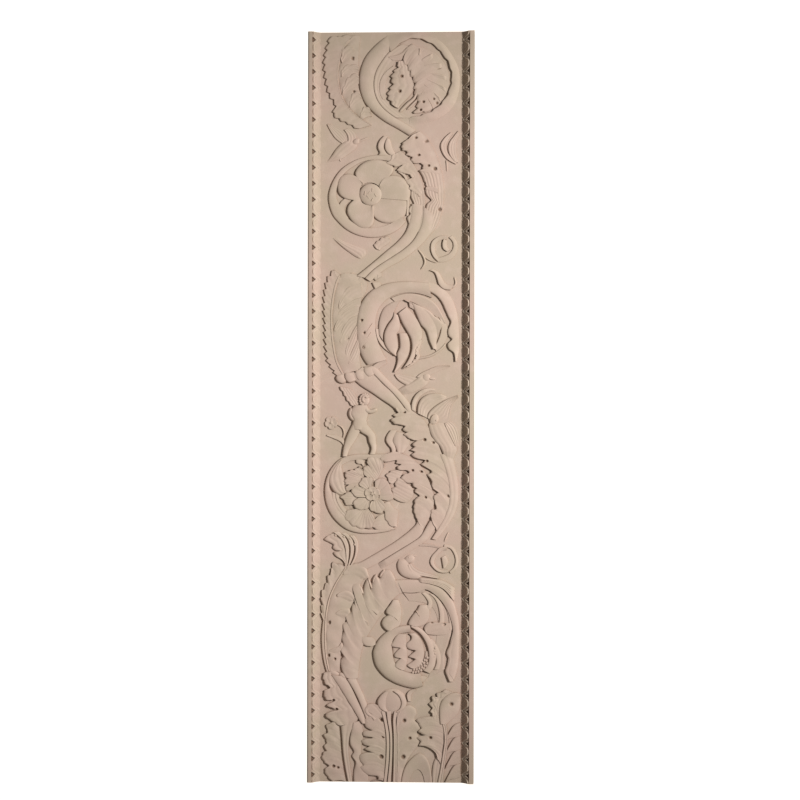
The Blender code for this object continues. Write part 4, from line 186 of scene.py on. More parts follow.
def flap(bm, left, right, rise=(10, 4), swell=0.0, teeth=0, tooth=6.0, lines=0, cut=0.9, eyes=(),
         step=3.5, cols=14, taper=(0, 0), folds=0, fold=1.8, veins=0, vein=0.9, bend=0.0):
    """A surface from a raised left edge to its right edge: a stem, a leaf's side or the wall of a bell.

    The left edge may be toothed. lines are shallow grooves along the surface, veins are grooves across it,
    folds are waves across it, and eyes are drilled at (x, z, radius). bend moves the middle of what runs
    across along the right edge.
    """
    rows = max(10, int(max(reach(left), reach(right)) / step))
    if teeth:
        rows = max(rows, ROWS_A_TOOTH * teeth)
    a, b = smooth_line(left, rows)[:, :2], smooth_line(right, rows)[:, :2]
    u = np.linspace(0, 1, rows)[:, None]
    w = np.linspace(0, 1, cols)[None, :] ** COLUMN_CROWDING
    if teeth:
        f = (teeth * u) % 1.0
        wave = np.where(f < LONG_SIDE, (f / LONG_SIDE) ** LONG_SIDE_POWER, (1 - f) / SHORT_SIDE)
        size = np.minimum(np.linalg.norm(b - a, axis=1)[:, None] * WIDEST_TOOTH, tooth)
        out = (a - b) / np.maximum(np.linalg.norm(b - a, axis=1), 1e-6)[:, None]
        a = a + out * size * (wave - 0.5)
    t = np.gradient(b, axis=0)
    t /= np.maximum(np.linalg.norm(t, axis=1), 1e-9)[:, None]
    shift = t * (2 * bend * np.linalg.norm(b - a, axis=1)[:, None])
    x = a[:, 0, None] * (1 - w) + b[:, 0, None] * w + shift[:, 0, None] * w * (1 - w)
    z = a[:, 1, None] * (1 - w) + b[:, 1, None] * w + shift[:, 1, None] * w * (1 - w)
    h = rise[0] * (1 - w) + rise[1] * w + swell * np.sin(math.pi * w) + 0 * x
    h = h - LIP_DEPTH * np.clip(1 - w / LIP_END, 0, 1)
    if teeth:
        h = h - NOTCH_DEPTH * groove_between(teeth * u, NOTCH_WIDTH) * np.clip(1 - w / NOTCH_END, 0, 1)
    else:
        rounded = np.sqrt(1 - (1 - np.clip(w / ROUND_END, 0, 1)) ** 2)
        h = h * (ROUND_FOOT + ROUND_GAIN * rounded)
    if lines:
        between = (w > LINE_SPAN[0]) * (w < LINE_SPAN[1])
        h = h - LINE_DEPTH * cut * groove_between(lines * w, LINE_WIDTH) * between
    if veins:
        creases = groove_between(veins * (u + VEIN_SWAY * np.sin(VEIN_TURNS * u)), VEIN_WIDTH)
        h = h - vein * creases * np.clip(w / VEIN_SPAN[0], 0, 1) * (w < VEIN_SPAN[1])
    if folds or teeth > TEETH_WITH_FOLDS:
        waves = folds or teeth // TEETH_TO_A_FOLD
        h = h + fold * np.cos(2 * math.pi * (waves * u + FOLD_SLANT * w)) * (1 - w) ** FOLD_FADE
    # painted shade along the raised left edge, where its shadow falls, and in the drilled eyes
    painted_shade = (TOOTHED_EDGE_SHADE if teeth else PLAIN_EDGE_SHADE) * np.clip(1 - w / EDGE_SHADE_END, 0, 1) + 0 * x
    for ex, ez, radius in eyes:
        drilled = np.exp(-(((x - ex) ** 2 + (z - ez) ** 2) / (DRILL_SHARE * radius) ** 2) ** 2)
        h = h - DRILL_DEPTH * drilled
        painted_shade = np.maximum(painted_shade, drilled)
    for share, away in zip(taper, (u, 1 - u)):
        if share:
            h = h * np.clip(away / share, TAPER_FLOOR, 1) ** TAPER_POWER
    sheet(bm, x, z, np.maximum(h, LEAST_HEIGHT), painted_shade)


def petal(bm, root, tip, width, rim, hollow, rows, cols):
    """A round-ended petal from root to tip, dished inside its rim."""
    c, e = np.array(root, float), np.array(tip, float)
    length = np.linalg.norm(e - c)
    t = (e - c) / length
    n = np.array([-t[1], t[0]])
    u = np.linspace(0.0, 1.0, rows)[:, None]
    w = np.linspace(-1, 1, cols)[None, :]
    half = width * np.sqrt(np.clip(1 - (1 - u ** 0.8) ** 2.2, 0.003, 1)) * (0.25 + 0.75 * u ** 0.5)
    end = 0.45 + 0.55 * np.sqrt(np.clip(1 - np.abs(w) ** 2.4, 0, 1)) ** 0.8
    along = u * length * (1 - u + u * end)
    x = c[0] + t[0] * along + n[0] * w * half
    z = c[1] + t[1] * along + n[1] * w * half
    h = rim - hollow * (1 - w**2) * np.sin(math.pi * u ** 0.8) + 0 * x
    h = h - 2.0 * np.abs(w) ** 10 - 2.0 * np.clip((u - 0.85) / 0.15, 0, 1) ** 2
    sheet(bm, x, z, np.maximum(h, LEAST_HEIGHT))


def blob(bm, x, z, length, width, angle=0.0, rise=8.0, lift=0.0, segments=16, rings=11):
    """A rounded body, long along angle in degrees from +X."""
    made = bmesh.ops.create_uvsphere(bm, u_segments=segments, v_segments=rings, radius=1.0)
    ca, sa = math.cos(math.radians(angle)), math.sin(math.radians(angle))
    for v in made["verts"]:
        along, up, side = v.co.z * length / 2, v.co.y * rise, v.co.x * width / 2
        v.co = ((x + along * ca - side * sa) * MM, -(ground + (lift + up) * RISE) * MM,
                (z + along * sa + side * ca) * MM)


def bead(bm, x, z, length, width, angle, rise, lift):
    """A small blob: an eye, a seed, a berry or a lock of hair."""
    blob(bm, x, z, length, width, angle, rise, lift, segments=8, rings=6)


def blade(bm, root, tip, width, height):
    """One narrow form, such as a beak: a low ridge with a round end."""
    c, e = np.array(root, float), np.array(tip, float)
    length = max(np.linalg.norm(e - c), 1.0)
    t = (e - c) / length
    n = np.array([-t[1], t[0]])
    u = np.linspace(0, 1, 10)[:, None]
    w = np.linspace(-1, 1, 7)[None, :]
    half = width / 2 * np.sqrt(np.clip(1 - np.clip((u - 0.6) / 0.4, 0, 1) ** 2, 0.02, 1)) * (0.6 + 0.4 * u)
    aside = w * half
    x = c[0] + t[0] * u * length + n[0] * aside
    z = c[1] + t[1] * u * length + n[1] * aside
    h = height * (1 - 0.5 * u**2) - height * 0.35 * np.abs(w) ** 1.5
    sheet(bm, x, z, np.maximum(h, LEAST_HEIGHT))


def base(bm):
    # left acanthus
    rib = [(-136, -1199), (-146, -1150), (-153, -1100), (-156, -1060), (-160, -1022)]
    flap(bm,
         [(-186, -1199), (-206, -1176), (-211, -1161), (-198, -1149), (-212, -1136), (-219, -1122),
          (-213, -1104), (-206, -1104), (-212, -1082), (-204, -1076), (-213, -1048), (-200, -1042),
          (-206, -1020), (-178, -1008)],
         [(-142, -1199), (-150, -1160), (-157, -1110), (-160, -1070), (-164, -1024)], rise=(11, 8),
         swell=2, cols=24, teeth=12, tooth=3, folds=4, fold=1.4, veins=8, vein=0.6, bend=0.25,
         eyes=((-182, -1150, 5), (-168, -1154, 4)))
    flap(bm, rib, [(-122, -1199), (-128, -1150), (-134, -1100), (-130, -1050), (-112, -1006)],
         rise=(13, 9), lines=2)
    flap(bm,
         [(-118, -1199), (-118, -1164), (-112, -1136), (-124, -1116), (-118, -1104), (-130, -1078),
          (-128, -1044), (-120, -1010)],
         [(-70, -1199), (-74, -1160), (-90, -1128), (-94, -1108), (-92, -1080), (-88, -1058),
          (-88, -1034), (-96, -1004)], rise=(11, 6), swell=2, cols=20, folds=3, fold=1.5, veins=5,
         vein=0.5, eyes=((-133, -1118, 8),))
    # centre acanthus: two halves whose veins rise from the foot and turn out to the lobes
    flap(bm,
         [(-24, -966), (-48, -950), (-62, -948), (-80, -956), (-82, -972), (-66, -982), (-84, -1000),
          (-80, -1024), (-62, -1036), (-90, -1040), (-88, -1052), (-58, -1058), (-96, -1068),
          (-84, -1082), (-70, -1086), (-84, -1094), (-54, -1108), (-78, -1106), (-100, -1114),
          (-99, -1132), (-88, -1146), (-99, -1154), (-72, -1178), (-42, -1182), (-40, -1190),
          (-66, -1199)],
         [(-20, -984), (-17, -1010), (-15, -1040), (-14, -1070), (-14, -1100), (-14, -1130), (-14, -1160),
          (-14, -1180), (-14, -1199)], rise=(14, 9), swell=2, cols=28, step=2.2, folds=5, fold=1.6,
         veins=10, vein=0.8, bend=-0.3, eyes=((-28, -1000, 6), (-29, -1118, 7), (-24, -1056, 3)))
    flap(bm, [(-78, -958), (-84, -968), (-76, -984), (-62, -992), (-54, -1002)],
         [(-62, -962), (-66, -970), (-62, -980), (-52, -986), (-44, -996)], rise=(16, 12), swell=2)
    flap(bm,
         [(28, -966), (44, -956), (62, -952), (78, -962), (84, -978), (78, -998), (90, -1010),
          (98, -1028), (86, -1040), (96, -1060), (92, -1076), (84, -1090), (70, -1108), (56, -1128),
          (46, -1150), (38, -1176), (34, -1199)],
         [(22, -984), (20, -1010), (19, -1040), (18, -1070), (18, -1100), (18, -1130), (18, -1160),
          (18, -1180), (18, -1199)], rise=(9, 14), swell=2, cols=26, step=2.5, folds=5, fold=1.6, veins=9,
         vein=0.8, bend=-0.35, eyes=((44, -1002, 6), (41, -1118, 7), (62, -1058, 5), (50, -1180, 4)))
    for near, far in (((-22, -14), (-12, -4)), ((-10, -2), (2, 6)), ((8, 10), (18, 20)),
                      ((20, 22), (32, 34))):
        flap(bm,
             [(near[0], -1199), (near[1], -1120), (near[1], -1050), (near[0], -1000),
              (1.4 * near[0], -972)],
             [(far[0], -1199), (far[1], -1120), (far[1], -1050), (far[0], -1000), (1.4 * far[0], -972)],
             rise=(16, 12))
    # the arch between the centre and right leaves
    flap(bm,
         [(34, -1199), (46, -1152), (68, -1122), (94, -1106), (116, -1122), (128, -1152), (134, -1199)],
         [(60, -1199), (66, -1180), (76, -1164), (88, -1158), (98, -1164), (106, -1180), (110, -1199)],
         rise=(9, 4), cols=12)
    # right acanthus
    flap(bm,
         [(150, -1122), (146, -1106), (130, -1092), (110, -1083), (90, -1080), (98, -1070), (86, -1056),
          (112, -1050), (90, -1036), (98, -1026), (92, -1014), (84, -1000), (110, -996)],
         [(160, -1140), (164, -1120), (166, -1100), (168, -1086), (170, -1072), (170, -1060),
          (170, -1048), (170, -1036), (168, -1024), (166, -1016), (164, -1008), (160, -1000),
          (156, -992)], rise=(15, 10), swell=1, cols=26, step=2.3, teeth=12, tooth=3, folds=3, fold=1.4,
         veins=8, vein=0.7, bend=0.3, eyes=((128, -1056, 5), (126, -1100, 5)))
    flap(bm,
         [(110, -1004), (134, -1009), (124, -997), (136, -986), (128, -972), (134, -964), (125, -946),
          (135, -936), (132, -922), (148, -930), (150, -914), (168, -908), (176, -900)],
         [(160, -1010), (158, -996), (156, -984), (156, -972), (156, -962), (158, -952), (161, -942),
          (166, -934), (172, -928), (178, -922), (186, -917), (194, -914), (202, -912)], rise=(14, 9),
         lines=3, cut=0.9, cols=20, step=2.3, teeth=9, tooth=4)
    flap(bm, [(158, -1010), (155, -980), (157, -952), (167, -932), (186, -916), (206, -911), (222, -914)],
         [(178, -1014), (192, -1000), (206, -988), (216, -976), (222, -960), (224, -944), (224, -926)],
         rise=(16, 7), swell=4, cols=20, eyes=((195, -948, 6),))
    flap(bm, [(150, -1199), (160, -1150), (166, -1110), (172, -1064), (168, -1024), (160, -1000)],
         [(168, -1199), (174, -1150), (180, -1110), (184, -1064), (182, -1030), (178, -1008)],
         rise=(13, 12), lines=2, cut=1.5)
    for top, bottom in ((-1010, -1050), (-1052, -1094), (-1096, -1138), (-1140, -1182)):
        flap(bm, [(176, bottom - 14), (186, bottom + 8), (202, top - 6), (222, top + 4)],
             [(176, bottom - 17), (190, bottom - 8), (206, bottom - 4), (224, bottom + 2)], rise=(12, 6),
             swell=2, lines=3, cut=0.9, cols=16)
    flap(bm, [(134, -1199), (134, -1160), (140, -1130), (152, -1112)],
         [(152, -1199), (158, -1160), (162, -1130), (166, -1104)], rise=(8, 6), lines=2)
    # the bud that stands on the centre leaf
    blob(bm, 6, -942, 84, 92, 90, rise=15, segments=24, rings=13)
    flap(bm, [(-16, -908), (-34, -924), (-43, -942), (-38, -960), (-22, -972)],
         [(-2, -908), (-12, -924), (-14, -942), (-14, -960), (-6, -974)], rise=(15, 13), swell=3)
    flap(bm, [(8, -908), (26, -924), (34, -944), (30, -962), (16, -974)],
         [(24, -908), (44, -922), (52, -942), (46, -962), (28, -976)], rise=(17, 10), swell=3)
    flap(bm, [(76, -900), (60, -906), (52, -918), (56, -940)],
         [(84, -904), (72, -912), (66, -922), (66, -940)], rise=(13, 7))
    # the drooping leaf and the twin stalks
    flap(bm,
         [(-200, -846), (-214, -853), (-216, -866), (-208, -886), (-192, -898), (-212, -908),
          (-212, -920), (-206, -936), (-180, -940), (-204, -954), (-190, -962), (-172, -969),
          (-196, -976), (-208, -986), (-196, -999), (-176, -1011), (-163, -1020)],
         [(-176, -846), (-176, -860), (-172, -874), (-166, -886), (-158, -898), (-152, -908),
          (-146, -918), (-140, -928), (-134, -938), (-128, -948), (-122, -958), (-116, -968),
          (-110, -978), (-106, -986), (-104, -994), (-106, -1002), (-120, -1012)], rise=(15, 9), swell=1,
         lines=3, cut=0.8, cols=24, step=2.3, teeth=16, tooth=3, eyes=((-182, -938, 4), (-172, -967, 4)))
    flap(bm,
         [(-194, -856), (-180, -876), (-160, -906), (-140, -938), (-118, -972), (-100, -1002),
          (-92, -1012)],
         [(-150, -862), (-138, -876), (-122, -904), (-106, -938), (-92, -968), (-82, -994), (-80, -1012)],
         rise=(13, 10), swell=4, cols=14)
    flap(bm, [(-142, -870), (-124, -898), (-106, -932), (-92, -966), (-82, -992), (-76, -1012)],
         [(-112, -866), (-98, -896), (-82, -932), (-70, -964), (-64, -986), (-66, -1002)], rise=(13, 6),
         swell=4, cols=14)
    for x, z, long, wide, turn in ((-182, -852, 40, 22, 160), (-152, -862, 34, 22, 150),
                                   (-122, -864, 34, 22, 20)):
        blob(bm, x, z, long, wide, turn, rise=13)
    # small curls beside the bud
    stem(bm,
         [(-62, -950, 2, 8), (-74, -954, 3, 11), (-78, -966, 3, 11), (-70, -978, 3, 11),
          (-60, -990, 2, 8)], cols=5)


def scroll_five(bm):
    # the great outer leaf at the left
    rib = [(-196, -850), (-206, -800), (-210, -740), (-209, -690), (-203, -640), (-192, -600),
           (-176, -566), (-158, -536), (-142, -512)]
    flap(bm, [(-205, -848), (-214, -815), (-220, -775), (-222, -735), (-219, -700), (-216, -676)],
         [(-192, -850), (-200, -815), (-204, -775), (-205, -735), (-204, -700), (-202, -676)],
         rise=(10, 8))
    flap(bm,
         [(-216, -680), (-222, -655), (-220, -630), (-222, -604), (-214, -580), (-204, -562),
          (-200, -542), (-190, -526), (-186, -500), (-150, -508)], rib[3:], rise=(11, 9), teeth=9,
         tooth=8, lines=1, step=2.5)
    stem(bm, [(x, z, 4.0, 12) for x, z in rib], cols=7)
    # its inner side, in veined lobes with drilled eyes
    flap(bm, rib,
         [(-164, -850), (-160, -800), (-158, -750), (-150, -700), (-134, -655), (-114, -612), (-98, -570),
          (-84, -540), (-90, -512)], rise=(10, 7), swell=2, folds=6, fold=1.6, veins=11, vein=0.5,
         bend=0.3, cols=22, eyes=((-196, -690, 5), (-198, -795, 5), (-170, -604, 4), (-178, -806, 4)))
    lobes = (((-158, -538), (-138, -512), (-108, -499), (-84, -506), (-68, -546), (-84, -552),
              (-120, -544)),
             ((-176, -606), (-164, -592), (-140, -585), (-116, -600), (-110, -618), (-124, -624),
              (-152, -618)),
             ((-178, -662), (-166, -650), (-150, -643), (-132, -645), (-128, -662), (-142, -674),
              (-164, -674)),
             ((-200, -782), (-186, -772), (-166, -764), (-156, -752), (-150, -770), (-160, -786),
              (-184, -790)))
    for root, low, bend, tip, turn, back, hollow in lobes:
        flap(bm, [root, low, bend, tip, turn], [root, hollow, back], rise=(12, 8), swell=2.5, lines=2,
             cut=0.7, cols=16, taper=(0.1, 0.12))
    # the toothed sheath of the stem, which ends in curled fingers
    flap(bm,
         [(-146, -864), (-158, -838), (-161, -812), (-152, -796), (-162, -776), (-154, -760),
          (-158, -736), (-152, -716), (-154, -694), (-140, -684), (-146, -664), (-128, -654),
          (-124, -634), (-112, -622), (-118, -604), (-106, -596), (-124, -568), (-100, -564), (-92, -598),
          (-84, -566), (-74, -550), (-66, -582), (-60, -560), (-48, -536), (-36, -548), (-22, -522),
          (-4, -520), (14, -546)],
         [(-104, -868), (-102, -838), (-98, -806), (-92, -776), (-82, -748), (-70, -724), (-56, -702),
          (-42, -680), (-28, -662), (-14, -644), (0, -624), (14, -608), (32, -594)], rise=(13, 8),
         swell=5, folds=7, fold=1.3, veins=10, vein=0.5, bend=-0.15, cols=26, step=2.5)
    for fold in ([(-98, -572, 4, 13), (-94, -586, 6, 15), (-86, -600, 4, 13)],
                 [(-72, -546, 3, 13), (-66, -566, 5, 15), (-58, -584, 4, 13)],
                 [(-44, -534, 4, 13), (-54, -550, 5, 14), (-56, -566, 3, 12)],
                 [(-18, -520, 4, 12), (-30, -534, 5, 14), (-34, -546, 3, 12)]):
        stem(bm, fold, cols=7)
    flap(bm, [(-24, -560), (-6, -554), (30, -552), (70, -552), (110, -556)],
         [(10, -606), (30, -596), (56, -590), (84, -592), (110, -590)], rise=(11, 7), swell=3)
    flap(bm, [(-112, -678), (-104, -672), (-90, -676), (-74, -684)],
         [(-106, -690), (-98, -690), (-86, -694), (-70, -700)], rise=(15, 11))
    flap(bm, [(-64, -648), (-54, -656), (-44, -664)], [(-54, -640), (-44, -646), (-34, -656)],
         rise=(16, 12))
    # the bell that the stem opens into, with its waved lip
    flap(bm,
         [(20, -552), (70, -550), (120, -556), (160, -572), (190, -602), (208, -640), (216, -680),
          (219, -720), (219, -770), (216, -820), (204, -872)],
         [(40, -592), (80, -592), (112, -582), (142, -598), (164, -620), (182, -648), (194, -680),
          (200, -712), (192, -750), (186, -800), (180, -838)], rise=(9, 12), swell=4, cols=18)
    flap(bm,
         [(196, -664), (202, -694), (203, -720), (194, -742), (186, -764), (178, -784), (184, -804),
          (180, -824), (174, -842), (180, -860), (188, -876)],
         [(216, -664), (219, -694), (221, -722), (221, -752), (220, -780), (219, -800), (217, -820),
          (214, -838), (209, -856), (200, -876)], rise=(15, 7), swell=2, step=2.5)
    flap(bm,
         [(40, -592), (80, -594), (112, -586), (146, -604), (168, -628), (186, -660), (196, -696),
          (194, -724), (184, -756), (174, -790), (174, -836)],
         [(60, -620), (90, -622), (116, -628), (134, -640), (146, -660), (152, -690), (150, -716),
          (146, -746), (144, -780), (140, -806), (120, -866)], rise=(6, 1.5), cols=18)
    # narrow leaves inside the bell
    for edge, back in (([(98, -594), (112, -610), (120, -626), (112, -640), (104, -636)],
                        [(110, -592), (126, -606), (134, -624), (130, -642), (122, -650)]),
                       ([(122, -596), (140, -612), (152, -640), (156, -672), (150, -708)],
                        [(138, -598), (160, -620), (170, -648), (172, -680), (168, -716)]),
                       ([(150, -606), (172, -636), (184, -668), (188, -712)],
                        [(166, -612), (186, -640), (196, -672), (198, -708)])):
        flap(bm, edge, back, rise=(9, 5), swell=1.5)
    flap(bm, [(156, -688), (130, -686), (116, -691), (106, -706), (112, -718)],
         [(200, -690), (196, -712), (180, -724), (150, -728), (120, -726)], rise=(12, 7), swell=2,
         lines=3, cut=0.9, cols=18, eyes=((172, -694, 4), (132, -687, 4)))
    # the fruit: a broad smooth hull, two toothed flaps of rind and the seeds between
    flap(bm,
         [(62, -696), (30, -700), (4, -708), (-18, -722), (-38, -742), (-50, -762), (-57, -784),
          (-55, -806), (-48, -828), (-34, -848), (-14, -867), (12, -882), (42, -893), (76, -899),
          (104, -892)],
         [(66, -718), (40, -722), (22, -728), (12, -738), (6, -750), (4, -764), (6, -780), (8, -796),
          (12, -812), (18, -824), (28, -834), (40, -842), (56, -848), (76, -852), (96, -850)],
         rise=(13, 11), swell=6, cols=24, step=3)
    flap(bm,
         [(18, -722), (8, -748), (6, -780), (8, -810), (20, -832), (48, -848), (90, -848), (120, -836),
          (140, -806), (144, -780)],
         [(60, -724), (64, -748), (66, -780), (66, -804), (70, -816), (76, -822), (88, -824), (100, -818),
          (110, -800), (112, -780)], rise=(7, 5), cols=14)
    flap(bm,
         [(24, -724), (14, -735), (6, -749), (-1, -763), (14, -768), (30, -768), (20, -778), (10, -792),
          (12, -799), (32, -801), (20, -812), (12, -827), (26, -836)],
         [(50, -726), (50, -740), (52, -752), (52, -764), (52, -776), (53, -786), (53, -796), (53, -806),
          (52, -816), (50, -824), (48, -834), (46, -838), (44, -842)], rise=(15, 10), swell=3, cols=16,
         step=2.2)
    flap(bm,
         [(56, -724), (66, -734), (63, -745), (50, -755), (48, -765), (60, -775), (78, -778), (66, -788),
          (56, -798), (78, -804), (62, -817), (52, -825), (64, -833)],
         [(78, -722), (90, -732), (98, -744), (103, -756), (106, -768), (107, -780), (107, -792),
          (105, -804), (102, -814), (98, -822), (92, -828), (86, -832), (78, -836)], rise=(15, 10),
         swell=3, cols=16, step=2.2)
    flap(bm, [(62, -702), (92, -722), (108, -744), (118, -768), (122, -796), (118, -822), (104, -840)],
         [(76, -696), (108, -716), (130, -744), (142, -772), (146, -798), (140, -828), (126, -850)],
         rise=(14, 8), swell=3)
    flap(bm, [(116, -744), (132, -766), (142, -790), (146, -816), (138, -838)],
         [(132, -740), (150, -764), (160, -790), (162, -816), (156, -838)], rise=(9, 4), swell=2)
    for i in range(9):
        for j in range(4):
            x, z = 72 + 8.5 * i + 3 * (j % 2), -848 + 9 * j + 0.045 * (8.5 * i) ** 2 / 4
            bead(bm, x, z, 10, 8, 70, 5, 8)
    flap(bm, [(54, -858), (66, -870), (84, -879), (104, -880)],
         [(64, -852), (82, -856), (100, -858), (118, -862)], rise=(12, 7), swell=2)
    # the pods above the fruit
    flap(bm, [(6, -616), (-3, -632), (-14, -646), (-16, -658), (-4, -666), (12, -669)],
         [(24, -616), (31, -632), (34, -648), (34, -662), (32, -674), (28, -686)], rise=(15, 8), swell=4,
         cols=16)
    flap(bm, [(-6, -664), (-22, -674), (-30, -690), (-26, -702), (-14, -714), (-4, -716)],
         [(32, -668), (34, -680), (32, -690), (28, -698), (20, -706), (10, -712)], rise=(14, 8), swell=4,
         cols=16)
    flap(bm, [(92, -632), (82, -650), (72, -662), (60, -680), (56, -694), (72, -700)],
         [(118, -632), (124, -650), (124, -668), (118, -684), (108, -694), (90, -702)], rise=(14, 7),
         swell=4, cols=16)
    stem(bm, [(80, -648, 1.5, 17), (88, -660, 2.5, 18), (96, -672, 1.5, 16)], cols=5)
    # the small leaf at the fruit's left
    flap(bm, [(-98, -734), (-96, -748), (-84, -763), (-62, -766)],
         [(-60, -736), (-52, -742), (-48, -750), (-48, -760)], rise=(11, 7), swell=2)


def tendrils_low(bm):
    # palmette at the left: a jagged side and long curled plumes
    flap(bm,
         [(-204, -414), (-214, -424), (-196, -434), (-184, -442), (-187, -450), (-178, -459),
          (-162, -461), (-184, -466), (-176, -478), (-158, -487), (-148, -498), (-148, -518)],
         [(-184, -404), (-170, -416), (-160, -424), (-154, -434), (-150, -444), (-147, -454),
          (-145, -464), (-144, -474), (-143, -484), (-142, -494), (-141, -504), (-140, -518)],
         rise=(11, 8), lines=2, cut=0.9, cols=18, step=2.3)
    plumes = (([(-186, -402), (-164, -418), (-150, -440), (-144, -470), (-143, -512)],
               [(-168, -398), (-148, -414), (-136, -438), (-134, -470), (-140, -514)]),
              ([(-160, -406), (-144, -416), (-132, -440), (-130, -470), (-139, -514)],
               [(-146, -402), (-128, -416), (-118, -440), (-120, -472), (-136, -516)]),
              ([(-134, -412), (-122, -424), (-114, -446), (-116, -476), (-135, -516)],
               [(-118, -410), (-106, -428), (-104, -450), (-110, -480), (-130, -518)]))
    for edge, back in plumes:
        flap(bm, edge, back, rise=(10, 6), swell=2, lines=2, cut=0.8, cols=12)
    for x, z in ((-177, -411), (-150, -415), (-131, -421), (-115, -440)):
        bead(bm, x, z, 9, 7, -30, 4, 8)
    # spiral tendril at the right
    flap(bm, [(92, -436), (130, -438), (158, -446)], [(92, -444), (130, -446), (158, -452)], rise=(6, 3))
    flap(bm,
         [(180, -446), (158, -448), (144, -461), (130, -478), (126, -496), (134, -511), (150, -525),
          (168, -530), (186, -528)],
         [(180, -456), (166, -458), (154, -468), (143, -482), (139, -496), (144, -508), (156, -518),
          (168, -521), (182, -518)], rise=(9, 5), swell=1)
    flap(bm, [(170, -448), (190, -452), (202, -468), (207, -490), (202, -510), (188, -524)],
         [(172, -438), (196, -444), (211, -464), (217, -490), (211, -514), (192, -532)], rise=(7, 3),
         swell=1)
    flap(bm, [(162, -480), (164, -496), (168, -514)], [(176, -474), (184, -494), (176, -512)],
         rise=(9, 5), swell=2)
    # bird over the fifth scroll, with its long tail
    flap(bm, [(26, -486), (20, -502), (22, -520), (32, -536), (50, -546), (72, -550), (96, -548)],
         [(48, -484), (54, -494), (60, -504), (68, -514), (78, -522), (90, -530), (104, -538)],
         rise=(9, 6), swell=5, cols=16, taper=(0.1, 0.1))
    blob(bm, 60, -486, 36, 26, 30, rise=9)
    blade(bm, (66, -476), (82, -474), 6, 5)
    bead(bm, 59, -481, 5, 5, 0, 3, 7)
    flap(bm, [(54, -504), (60, -522), (76, -536), (110, -542), (150, -548)],
         [(66, -500), (78, -514), (96, -524), (124, -532), (156, -542)], rise=(11, 6), lines=2)
    for shift in (0, 10, 20, 30):
        flap(bm,
             [(84, -552 - shift / 4), (130, -556 - shift / 3), (168, -566 - shift / 2),
              (202, -590 - shift)],
             [(84, -545 - shift / 4), (134, -548 - shift / 3), (172, -556 - shift / 2),
              (206, -578 - shift)], rise=(19, 15), cols=8, taper=(0.1, 0.1))


